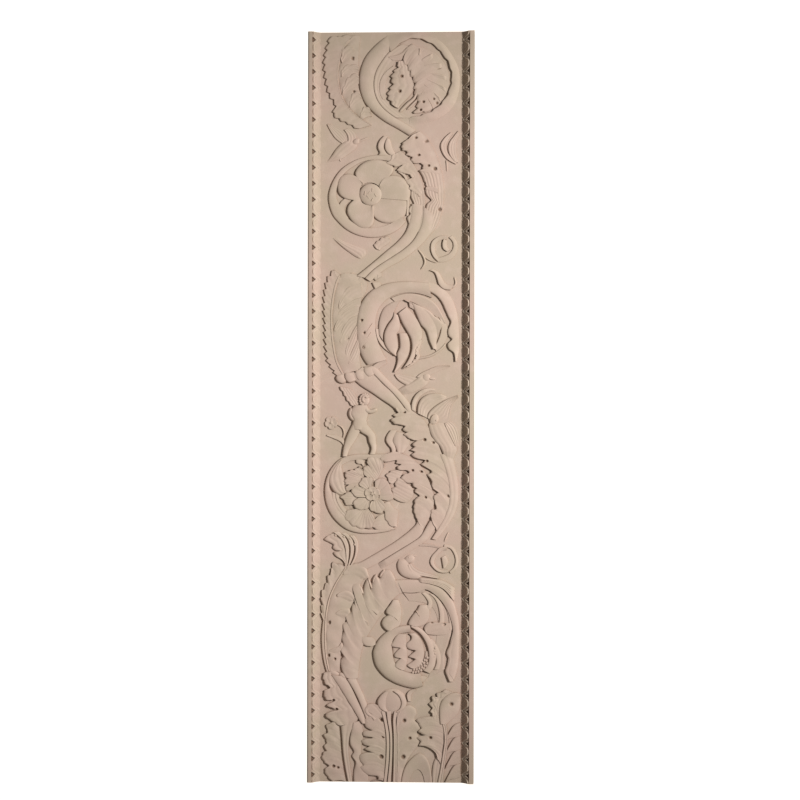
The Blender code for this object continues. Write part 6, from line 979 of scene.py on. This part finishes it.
def bird_left(bm):
    # wing spread to the left, then the one behind the head
    flap(bm, [(-206, 905), (-194, 880), (-178, 858), (-162, 846), (-150, 838)],
         [(-200, 908), (-176, 899), (-156, 888), (-142, 870), (-140, 850)], rise=(7, 3), lines=5, cut=0.8,
         cols=24)
    flap(bm, [(-150, 838), (-140, 853), (-142, 870), (-152, 887)],
         [(-112, 850), (-112, 868), (-120, 882), (-138, 893)], rise=(9, 3), lines=3, cut=0.8, cols=20)
    # body and tail, head and beak
    flap(bm, [(-136, 856), (-160, 844), (-178, 826), (-190, 808), (-206, 786)],
         [(-106, 848), (-114, 828), (-138, 810), (-160, 795), (-182, 788)], rise=(9, 4), swell=4, lines=3,
         cut=0.6, cols=20, taper=(0.15, 0.3))
    blob(bm, -113, 850, 26, 20, 30, rise=10)
    blade(bm, (-104, 850), (-72, 864), 7, 6)
    stem(bm, [(-166, 798, 3, 5), (-162, 786, 2, 4)], cols=5)


def bird_hanging(bm):
    flap(bm, [(190, 878), (170, 861), (157, 839), (161, 817), (176, 794), (206, 776)],
         [(197, 874), (184, 857), (176, 836), (181, 813), (194, 795), (209, 782)], rise=(10, 5), lines=2,
         cut=0.6, cols=16)
    flap(bm, [(213, 883), (198, 864), (186, 848), (181, 830), (185, 808), (202, 786)],
         [(219, 872), (209, 852), (207, 832), (209, 812), (212, 795), (214, 781)], rise=(9, 4), lines=3,
         cut=0.8, cols=18)
    stem(bm, [(176, 792, 3, 6), (178, 772, 3, 5), (178, 752, 2, 4)], cols=5)


def scroll_one(bm):
    # the leaf at the left: its outer side, its inner lobes and its midrib
    rib = [(-132, 1180), (-158, 1142), (-170, 1095), (-172, 1045), (-162, 1002), (-145, 968), (-120, 940),
           (-92, 918), (-64, 902)]
    flap(bm,
         [(-196, 1188), (-208, 1150), (-216, 1108), (-214, 1066), (-208, 1030), (-198, 998), (-180, 968),
          (-186, 938), (-166, 920), (-140, 908), (-108, 890)], rib, rise=(9, 10), teeth=15, tooth=9,
         folds=15, fold=0.8, veins=15, vein=0.4, cols=18, step=2.5)
    flap(bm, [(-184, 1172), (-164, 1188), (-128, 1190), (-104, 1182)],
         [(-160, 1150), (-150, 1156), (-130, 1160), (-104, 1160)], rise=(8, 5), teeth=3)
    flap(bm, rib[:8],
         [(-100, 1186), (-104, 1150), (-106, 1110), (-106, 1070), (-106, 1030), (-98, 1000), (-84, 966),
          (-62, 930)], rise=(8, 6), swell=2, folds=5, fold=2.0, veins=10, vein=0.6, bend=-0.3, cols=20,
         eyes=((-124, 1116, 5), (-128, 1090, 4), (-120, 1010, 3)))
    lobes = (((-158, 1100), (-162, 1120), (-152, 1150), (-128, 1158), (-116, 1132), (-130, 1120)),
             ((-160, 1056), (-156, 1086), (-136, 1096), (-104, 1092), (-106, 1070), (-130, 1070)),
             ((-158, 1000), (-146, 1044), (-124, 1066), (-104, 1062), (-104, 1036), (-124, 1020)),
             ((-134, 958), (-128, 996), (-112, 1012), (-98, 1002), (-94, 980), (-108, 968)),
             ((-100, 926), (-92, 954), (-80, 962), (-66, 950), (-66, 934), (-78, 930)))
    for root, low, bend, tip, back, hollow in lobes:
        flap(bm, [root, low, bend, tip], [root, hollow, back], rise=(12, 7), swell=1.5, teeth=3, tooth=5,
             lines=3, cut=0.9, cols=16)
    stem(bm, [(x, z, 4.5 - 0.3 * i, 12) for i, (x, z) in enumerate(rib)], cols=9, flutes=2, cut=2.0)
    # the stem that grows into the bell, and the bell's inner wall
    outer = [(-12, 1190), (-56, 1154), (-84, 1120), (-100, 1080), (-104, 1040), (-99, 1005), (-86, 974),
             (-60, 944), (-22, 914), (20, 890), (56, 868)]
    inner = [(30, 1160), (-8, 1136), (-32, 1106), (-50, 1074), (-57, 1040), (-54, 1005), (-42, 976),
             (-20, 950), (12, 926), (50, 903), (78, 884)]
    flap(bm, outer, inner, rise=(9, 7), swell=6, taper=(0.08, 0))
    flap(bm, inner[:9],
         [(70, 1150), (30, 1128), (8, 1100), (-14, 1066), (-26, 1036), (-24, 1002), (-10, 976), (16, 954),
          (60, 925)], rise=(10, 1.5), swell=-1, lines=3)
    flap(bm, [(6, 1092), (-22, 1070), (-38, 1040), (-38, 1004), (-28, 985)],
         [(12, 1085), (-8, 1062), (-18, 1036), (-18, 1008), (-18, 985)], rise=(6, 3))
    # the mouth of the bell
    flap(bm,
         [(-2, 1134), (30, 1164), (62, 1178), (95, 1176), (140, 1154), (163, 1128), (183, 1100),
          (194, 1056), (187, 1018), (178, 996), (158, 968), (132, 948), (96, 934), (56, 926)],
         [(-12, 1188), (34, 1197), (78, 1198), (112, 1190), (160, 1168), (196, 1122), (214, 1084),
          (219, 1045), (216, 1010), (204, 972), (180, 942), (144, 920), (98, 908), (60, 904)],
         rise=(13, 1), swell=4, teeth=13, tooth=4, cols=16, taper=(0, 0.12))
    # the leaves inside it
    flap(bm, [(-12, 1122), (30, 1132), (50, 1152), (66, 1162)],
         [(6, 1108), (40, 1112), (70, 1125), (92, 1144)], rise=(9, 4), lines=2)
    fan = [(62, 1156), (96, 1150), (138, 1132), (168, 1100), (184, 1058), (182, 1020), (166, 984),
           (140, 958), (106, 942)]
    flap(bm,
         [(36, 1106), (48, 1092), (58, 1072), (66, 1054), (74, 1036), (74, 1008), (84, 986), (82, 960),
          (70, 938)], fan, rise=(12, 5), swell=4, teeth=9, tooth=8, folds=4, fold=1.5, veins=11, vein=0.7,
         bend=-0.15, cols=30, step=2.5,
         eyes=((152, 1084, 4), (103, 976, 4), (102, 940, 5), (146, 972, 4), (136, 985, 3), (94, 950, 4)))
    for i in range(7):
        x, z = fan[i + 1]
        flap(bm, [(84, 1120 - 14 * i), ((84 + x) / 2 - 2, (1120 - 14 * i + z) / 2 + 2), (x - 6, z)],
             [(88, 1108 - 14 * i), ((88 + x) / 2 + 6, (1108 - 14 * i + z) / 2 - 12), (x - 2, z - 14)],
             rise=(14, 8), swell=1, lines=2, cut=0.8, cols=12, taper=(0.3, 0.1))
    flap(bm,
         [(18, 1104), (22, 1090), (8, 1074), (0, 1050), (4, 1034), (-8, 1010), (-11, 990), (-2, 976),
          (8, 962)],
         [(40, 1108), (56, 1080), (66, 1050), (72, 1030), (66, 1006), (54, 990), (40, 976), (30, 966),
          (22, 956)], rise=(13, 8), swell=3, teeth=8, tooth=8, lines=3, cut=0.8, cols=24,
         eyes=((33, 1058, 5), (27, 1010, 5)))
    stem(bm, [(84, 1020, 3, 10), (74, 990, 5, 12), (50, 968, 6, 12), (24, 942, 4, 8)])
    stem(bm, [(108, 1024, 2.5, 12), (96, 998, 4, 13), (72, 972, 4, 11), (48, 950, 3, 7)])


def ogee(across):
    """Height of the moulding's slope above the ground; across is 0 at the fillet and 1 at the field."""
    return FRAME_RISE * (0.5 + 0.5 * np.cos(math.pi * across))


def smooth_step(value, start, end):
    """0 below start, 1 above end, and smooth between."""
    t = np.clip((value - start) / (end - start), 0, 1)
    return t * t * (3 - 2 * t)


# the leaf and dart: RIM_BEND, DART_REACH and LEAF_HALF_WIDTH are shares of one repeat, the other places and
# widths are shares of the moulding's width, and heights and depths are in millimetres
RIM_START, RIM_SWEEP, RIM_BEND = 0.17, 0.75, (0.08, 0.60)
CHEVRON_TIP, CHEVRON_SLOPE, CHEVRON_GAP, DART_REACH = 0.46, 2.4, 0.19, (0.32, 0.37)
RIM_HEIGHT, RIM_WIDTH = 4.2, 0.075
LEAF_HEIGHT, LEAF_CENTRE, LEAF_HALF_LENGTH, LEAF_HALF_WIDTH = 2.0, 0.72, 0.28, 0.3
CHEVRON_HEIGHT, CHEVRON_WIDTH = 3.4, 0.06
SUNK_DEPTH, SUNK_START, SUNK_END = 3.5, (0.0, 0.05), (0.5, 0.95)
PIT_DEPTH, PIT_START, PIT_SLOPE = 4.5, 0.04, 0.06
FIELD_FADE = 0.08
ROWS_A_LEAF, COLUMNS_OF_THE_SLOPE = 18, 22


def kyma(across, along, crisp):
    """Height of one leaf and dart: across from the fillet, along from -0.5 to 0.5 between two darts."""
    s = np.abs(along)
    rim_at = RIM_START + RIM_SWEEP * smooth_step(s, *RIM_BEND)
    chevron_at = CHEVRON_TIP - CHEVRON_SLOPE * (0.5 - s)
    by_dart = smooth_step(s, *DART_REACH)
    rim = RIM_HEIGHT * crisp * np.exp(-(((across - rim_at) / RIM_WIDTH) ** 2))
    inside = 1 - ((across - LEAF_CENTRE) / LEAF_HALF_LENGTH) ** 2 - (s / LEAF_HALF_WIDTH) ** 2
    leaf = LEAF_HEIGHT * crisp * np.sqrt(np.clip(inside, 0, 1))
    first, second = (np.exp(-(((across - chevron_at - gap) / CHEVRON_WIDTH) ** 2))
                     for gap in (0.0, CHEVRON_GAP))
    chevrons = CHEVRON_HEIGHT * crisp * by_dart * (first + second)
    sunk = -SUNK_DEPTH * smooth_step(across, *SUNK_START) * (1 - smooth_step(across, *SUNK_END))
    pit = -PIT_DEPTH * by_dart * np.clip((chevron_at - across - PIT_START) / PIT_SLOPE, 0, 1)
    fade = np.clip((1 - across) / FIELD_FADE, 0, 1) * (across > 0)
    return (rim + leaf + chevrons + sunk + pit) * fade


def panel(bm):
    """The ground, the two carved mouldings and the plain fillets, as one closed body."""
    z_col = np.linspace(-half_height, half_height, repeats * ROWS_A_LEAF + 1)
    beat = ((z_col + half_height) / (2 * half_height) * repeats + 0.5) % 1.0 - 0.5
    turn = np.linspace(0, math.pi / 2, 5)
    across = np.linspace(0, 1, COLUMNS_OF_THE_SLOPE)
    ground_x = np.concatenate([[field_half - 0.5, field_half - 3.0], np.linspace(field_half, 0, 12)[1:]])
    xs, hs, shares = [], [], []
    for arris in (LEFT_ARRIS, RIGHT_ARRIS):
        edge_x = list(half_width - arris + arris * np.cos(turn))
        edge_h = list(FRAME_RISE - arris + arris * np.sin(turn))
        flat_x = [half_width - FILLET_WIDTH / 2, half_width - FILLET_WIDTH + 0.6]
        slope_x = half_width - FILLET_WIDTH - MOULDING_WIDTH * across
        xs.append(np.concatenate([edge_x, flat_x, slope_x, ground_x]))
        hs.append(np.concatenate([edge_h, [FRAME_RISE] * 2, ogee(across), np.zeros(len(ground_x))]))
        shares.append(np.concatenate([np.zeros(len(edge_x) + 2), across, np.ones(len(ground_x))]))
    x_row = np.concatenate([-xs[0], xs[1][-2::-1]])
    h_row = np.concatenate([hs[0], hs[1][-2::-1]])
    share = np.concatenate([shares[0], shares[1][-2::-1]])
    x, z = np.meshgrid(x_row, z_col)
    crisp = np.where(x_row < 0, LEFT_CRISP, 1.0)[None, :]
    h = np.minimum(h_row[None, :] + kyma(share[None, :], beat[:, None], crisp), FRAME_RISE)
    shell(bm, x, z, h, -ground)


class Wire:
    """A socket of a finish; sums and products of wires add Math nodes."""

    def __init__(self, finish, socket):
        self.finish, self.socket = finish, socket

    def math(self, operation, *values):
        return self.finish.node("ShaderNodeMath", dict(operation=operation), dict(enumerate(values)))

    def __add__(self, other):
        return self.math("ADD", self, other)

    def __sub__(self, other):
        return self.math("SUBTRACT", self, other)

    def __rsub__(self, other):
        return self.math("SUBTRACT", other, self)

    def __mul__(self, other):
        return self.math("MULTIPLY", self, other)

    __radd__, __rmul__ = __add__, __mul__

    def spread(self, start, end):
        """0 below start, 1 above end, and smooth between."""
        return self.finish.node("ShaderNodeMapRange", dict(interpolation_type="SMOOTHSTEP"),
                                {"Value": self, "From Min": start, "From Max": end})


class Finish:
    """A material made of nodes."""

    def __init__(self, name):
        self.material = bpy.data.materials.new(name)
        self.material.use_nodes = True
        self.tree = self.material.node_tree
        self.shader = self.tree.nodes["Principled BSDF"]

    def plug(self, socket, value):
        """Links a wire to the socket, or sets the socket's own value."""
        if isinstance(value, Wire):
            self.tree.links.new(value.socket, socket)
        else:
            socket.default_value = value

    def node(self, kind, settings, values, output=0):
        """A new node with its settings and inputs, as the wire from one of its outputs."""
        made = self.tree.nodes.new(kind)
        for name, value in settings.items():
            setattr(made, name, value)
        for name, value in values.items():
            self.plug(made.inputs[name], value)
        return Wire(self, made.outputs[output])

    def mix(self, factor, first, second):
        """A colour between two colours."""
        made = self.tree.nodes.new("ShaderNodeMix")
        made.data_type = "RGBA"
        for index, value in ((0, factor), (6, first), (7, second)):
            self.plug(made.inputs[index], value)
        return Wire(self, made.outputs[2])

    def noise(self, place, scale, detail):
        return self.node("ShaderNodeTexNoise", {}, {"Vector": place, "Scale": scale, "Detail": detail})


PINK = (0.590, 0.440, 0.365, 1)
STRAW = (0.545, 0.440, 0.340, 1)
PALE = (0.650, 0.510, 0.425, 1)
# the pale of worn rims, and of a painted highlight on the right moulding's rims
WORN_AND_HIGHLIGHT = (0.920, 0.780, 0.640, 1)
# the colour of painted shade in hollows, along edges, in eyes, pits and seams
SHADE_BROWN = (0.170, 0.095, 0.058, 1)
# brown: a tone on both mouldings, and painted shade on the right moulding
PATINA_AND_SHADE = (0.260, 0.180, 0.115, 1)
EDGE_GREY = (0.330, 0.290, 0.230, 1)

# noises are (scale, detail), spans are where a mark starts and is full, and shares are how much of it shows.
# HOLLOW_REACH, FRONT_SPAN and BUMP_HEIGHT are in metres and EDGE_GREY_WIDTH is in millimetres
PATCHES, PATCH_SPAN = (5.0, 3.0), (0.38, 0.62)
RUBBED, RUBBED_SPAN, RUBBED_SHARE = (38.0, 4.0), (0.45, 0.75), 0.45
# painted shade in hollows, creases and corners, found by ambient occlusion
HOLLOW_REACH, HOLLOW_SPAN, HOLLOW_SHADE_SHARE = 0.022, (0.25, 0.85), 0.42
# painted shade along raised left edges and in drilled eyes
EDGE_AND_EYE_SHADE_SHARE = 0.85
FRONT_SPAN = (0.028, 0.031)
# painted shade on the right moulding, which faces away from the key light, and a brown tone on both mouldings
RIGHT_MOULDING_SHADE_SHARE, MOULDING_SHARE = 0.14, 0.12
RIM_LINE, CHEVRON_LINE = (0.04, 0.13), (0.02, 0.10)
# pale rims: wear on both mouldings, and painted highlight on the right one
WORN_SHARE, RIM_HIGHLIGHT_SHARE = 0.15, 0.65
# painted shade in the pits between the leaves
PIT_SPAN, PIT_SHADE_SHARE = (-0.10, -0.03), 0.8
# painted shadow along the seam by the fillet
SEAM_IN, SEAM_OUT, SEAM_SHADOW_SHARE = (-0.01, 0.03), (0.05, 0.09), 0.35
EDGE_GREY_WIDTH, EDGE_GREY_SHARE = 3.5, 0.6
ROUGHNESS, ROUGHNESS_SPREAD, ROUGHNESS_NOISE = 0.72, 0.2, (60.0, 3.0)
FINE_GRAIN, COARSE_GRAIN, COARSE_WEIGHT = (900.0, 2.0), (160.0, 3.0), 2.5
BUMP_STRENGTH, BUMP_HEIGHT = 0.35, 0.0004


def plaster():
    """Tinted plaster: pink and straw patches, painted shade in hollows, along raised edges and in eyes, pits
    and seams, a brown painted shade on the right moulding, and pale rims, worn and with painted highlight.
    """
    finish = Finish("plaster")
    place = finish.node("ShaderNodeTexCoord", {}, {}, "Object")
    patches = finish.noise(place, *PATCHES).spread(*PATCH_SPAN)
    colour = finish.mix(patches, PINK, STRAW)
    rubbed = finish.noise(place, *RUBBED).spread(*RUBBED_SPAN)
    colour = finish.mix(rubbed * RUBBED_SHARE, colour, PALE)
    # painted shade: the colour is darkened where ambient occlusion finds hollows, creases and corners
    light = finish.node("ShaderNodeAmbientOcclusion", dict(samples=6), {"Distance": HOLLOW_REACH}, "AO")
    hollow = 1 - light.spread(*HOLLOW_SPAN)
    colour = finish.mix(hollow * HOLLOW_SHADE_SHARE, colour, SHADE_BROWN)
    # painted shade kept on the mesh: along raised left edges and in drilled eyes
    painted_shade = finish.node("ShaderNodeAttribute", dict(attribute_name="painted_shade"), {}, "Fac")
    colour = finish.mix(painted_shade * EDGE_AND_EYE_SHADE_SHARE, colour, SHADE_BROWN)

    x, y, z = (finish.node("ShaderNodeSeparateXYZ", {}, {"Vector": place}, axis) for axis in "XYZ")
    edge = (half_width - FILLET_WIDTH) * MM
    inner = field_half * MM
    in_front = (0 - y).spread(*FRONT_SPAN)
    # painted shade: the right moulding, whose slope faces away from the key light, is browned
    right_moulding_shade = x.spread(inner - 0.002, inner + 0.003) * (1 - x.spread(edge - 0.001, edge + 0.001)) * in_front
    colour = finish.mix(right_moulding_shade * RIGHT_MOULDING_SHADE_SHARE, colour, PATINA_AND_SHADE)

    # the leaf and dart again, as marks: pale rims and chevrons, worn and with painted highlight on the right
    # moulding, and painted shade in the pits and along the seam by the fillet
    beat = x.math("FRACT", z * (repeats / (2 * half_height * MM)) + (repeats / 2 + 0.5))
    s = x.math("ABSOLUTE", beat - 0.5)
    across = (edge - x.math("ABSOLUTE", x)) * (1 / (MOULDING_WIDTH * MM))
    on_moulding = across.spread(-0.02, 0.02) * (1 - across.spread(0.96, 1.0)) * in_front
    rim_at = RIM_START + RIM_SWEEP * s.spread(*RIM_BEND)
    chevron_at = CHEVRON_TIP - CHEVRON_SLOPE * (0.5 - s)
    by_dart = s.spread(*DART_REACH)
    rims = 1 - x.math("ABSOLUTE", across - rim_at).spread(*RIM_LINE)
    for gap in (0.0, CHEVRON_GAP):
        rims = rims + (1 - x.math("ABSOLUTE", across - chevron_at - gap).spread(*CHEVRON_LINE)) * by_dart
    pit = by_dart * (1 - (across - chevron_at).spread(*PIT_SPAN))
    seam_shadow = across.spread(*SEAM_IN) * (1 - across.spread(*SEAM_OUT))
    colour = finish.mix(on_moulding * MOULDING_SHARE, colour, PATINA_AND_SHADE)
    # the rims are pale from wear, and on the right moulding also from a painted highlight where they catch
    # the key light
    wear_and_highlight = WORN_SHARE + RIM_HIGHLIGHT_SHARE * right_moulding_shade
    colour = finish.mix(on_moulding * rims * wear_and_highlight, colour, WORN_AND_HIGHLIGHT)
    # painted shade in the pits and a painted shadow in the seam by the fillet
    colour = finish.mix(on_moulding * (PIT_SHADE_SHARE * pit + SEAM_SHADOW_SHARE * seam_shadow), colour, SHADE_BROWN)

    rim = (half_width - EDGE_GREY_WIDTH) * MM
    outside = x.spread(rim, half_width * MM) + (0 - x).spread(rim, half_width * MM)
    colour = finish.mix(outside * EDGE_GREY_SHARE, colour, EDGE_GREY)
    finish.plug(finish.shader.inputs["Base Color"], colour)
    roughness = ROUGHNESS + ROUGHNESS_SPREAD * finish.noise(place, *ROUGHNESS_NOISE)
    finish.plug(finish.shader.inputs["Roughness"], roughness)
    finish.shader.inputs["Specular IOR Level"].default_value = 0.25
    grain = finish.noise(place, *FINE_GRAIN) + COARSE_WEIGHT * finish.noise(place, *COARSE_GRAIN)
    bump = finish.node("ShaderNodeBump", {}, {"Strength": BUMP_STRENGTH, "Distance": BUMP_HEIGHT,
                                              "Height": grain})
    finish.plug(finish.shader.inputs["Normal"], bump)
    return finish.material


PIECES = dict(
    panel=panel,
    scroll_one_of_the_top=scroll_one,
    bird_with_spread_wings=bird_left,
    hanging_bird=bird_hanging,
    scroll_two_with_flower=scroll_two,
    bud_and_tendril_sprays=small_middle,
    upper_stem=stems_upper,
    scroll_three_with_pods=scroll_three,
    flying_bird=bird_middle,
    twin_stalks=stalks_middle,
    small_flower=flower_left,
    winged_child=putto,
    large_bird=bird_right,
    scroll_four_with_rosette=scroll_four,
    lower_sprays=tendrils_low,
    scroll_five_with_fruit=scroll_five,
    base_acanthus=base,
)
SHARP_FROM = math.radians(38)


def to_object(name, carve, material):
    """One carved piece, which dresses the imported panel."""
    bm = bmesh.new()
    carve(bm)
    bmesh.ops.recalc_face_normals(bm, faces=bm.faces)
    mesh = bpy.data.meshes.new(name)
    bm.to_mesh(mesh)
    bm.free()
    mesh.shade_smooth()
    mesh.set_sharp_from_angle(angle=SHARP_FROM)
    mesh.materials.append(material)
    piece = bpy.data.objects.new(name, mesh)
    bpy.context.scene.collection.objects.link(piece)
    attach(piece, "root")
    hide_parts("relief_panel")


FLOOR_SIZE, FLOOR_PLACE = 8.0, (0, -2.0, -1.9)
FLOOR_COLOUR = (0.80, 0.80, 0.79, 1)
SURROUND_SEEN = 1.25
FILL = 0.175
FILL_TINT = (1.0, 0.93, 0.85, 1)
KEY_PLACE = (4.3, -4.4, 1.3)
KEY_AIM = (-0.02, 0, 0.03)
KEY_CONE = 36.5
KEY_RADIUS = 0.42
KEY_POWER = 1840
KEY_TINT = (1.0, 0.985, 0.965)


def studio():
    """A pale floor under the hanging panel, a white surround, a key light from the right and a fill."""
    bpy.ops.mesh.primitive_plane_add(size=FLOOR_SIZE, location=FLOOR_PLACE)
    floor = bpy.context.object
    floor.name = "floor"
    finish = Finish("pale_floor")
    finish.shader.inputs["Base Color"].default_value = FLOOR_COLOUR
    finish.shader.inputs["Roughness"].default_value = 0.8
    floor.data.materials.append(finish.material)
    world = bpy.data.worlds.new("white_surround")
    world.use_nodes = True
    nodes, links = world.node_tree.nodes, world.node_tree.links
    background = nodes["Background"]
    background.inputs["Color"].default_value = FILL_TINT
    seen = nodes.new("ShaderNodeLightPath")
    strength = nodes.new("ShaderNodeMapRange")
    strength.inputs["To Min"].default_value = FILL
    strength.inputs["To Max"].default_value = SURROUND_SEEN
    links.new(seen.outputs["Is Camera Ray"], strength.inputs["Value"])
    links.new(strength.outputs[0], background.inputs["Strength"])
    bpy.context.scene.world = world
    lamp = bpy.data.lights.new("key_lamp", "SPOT")
    lamp.energy, lamp.color, lamp.shadow_soft_size = KEY_POWER, KEY_TINT, KEY_RADIUS
    lamp.spot_size, lamp.spot_blend = math.radians(KEY_CONE), 1.0
    held = bpy.data.objects.new("key_lamp", lamp)
    bpy.context.scene.collection.objects.link(held)
    held.location = KEY_PLACE
    held.rotation_euler = (Vector(KEY_AIM) - held.location).to_track_quat("-Z", "Y").to_euler()


VIEW_DISTANCE = 7.0
VIEW_TURN = math.radians(2.8)
VIEW_ROLL = math.radians(-0.09)
IMAGE_SIZE = 800
FOCAL_PIXELS = 2187.5
CENTRE_PIXEL = (390.9, 407.15)


def photograph_camera():
    """The photograph's view: level, a little from the right, with the panel nearly filling the height."""
    lens = bpy.data.cameras.new("camera")
    lens.sensor_width = 36.0
    lens.lens = FOCAL_PIXELS / IMAGE_SIZE * lens.sensor_width
    lens.shift_x = (IMAGE_SIZE / 2 - CENTRE_PIXEL[0]) / IMAGE_SIZE
    lens.shift_y = (CENTRE_PIXEL[1] - IMAGE_SIZE / 2) / IMAGE_SIZE
    camera = bpy.data.objects.new("camera", lens)
    bpy.context.scene.collection.objects.link(camera)
    camera.location = (VIEW_DISTANCE * math.sin(VIEW_TURN),
                       -ground * MM - VIEW_DISTANCE * math.cos(VIEW_TURN), 0)
    camera.rotation_euler = (math.pi / 2, VIEW_ROLL, VIEW_TURN)
    bpy.context.scene.camera = camera


skin = plaster()
for piece_name, carve in PIECES.items():
    to_object(piece_name, carve, skin)
studio()
photograph_camera()
bpy.context.scene.view_settings.view_transform = "Standard"
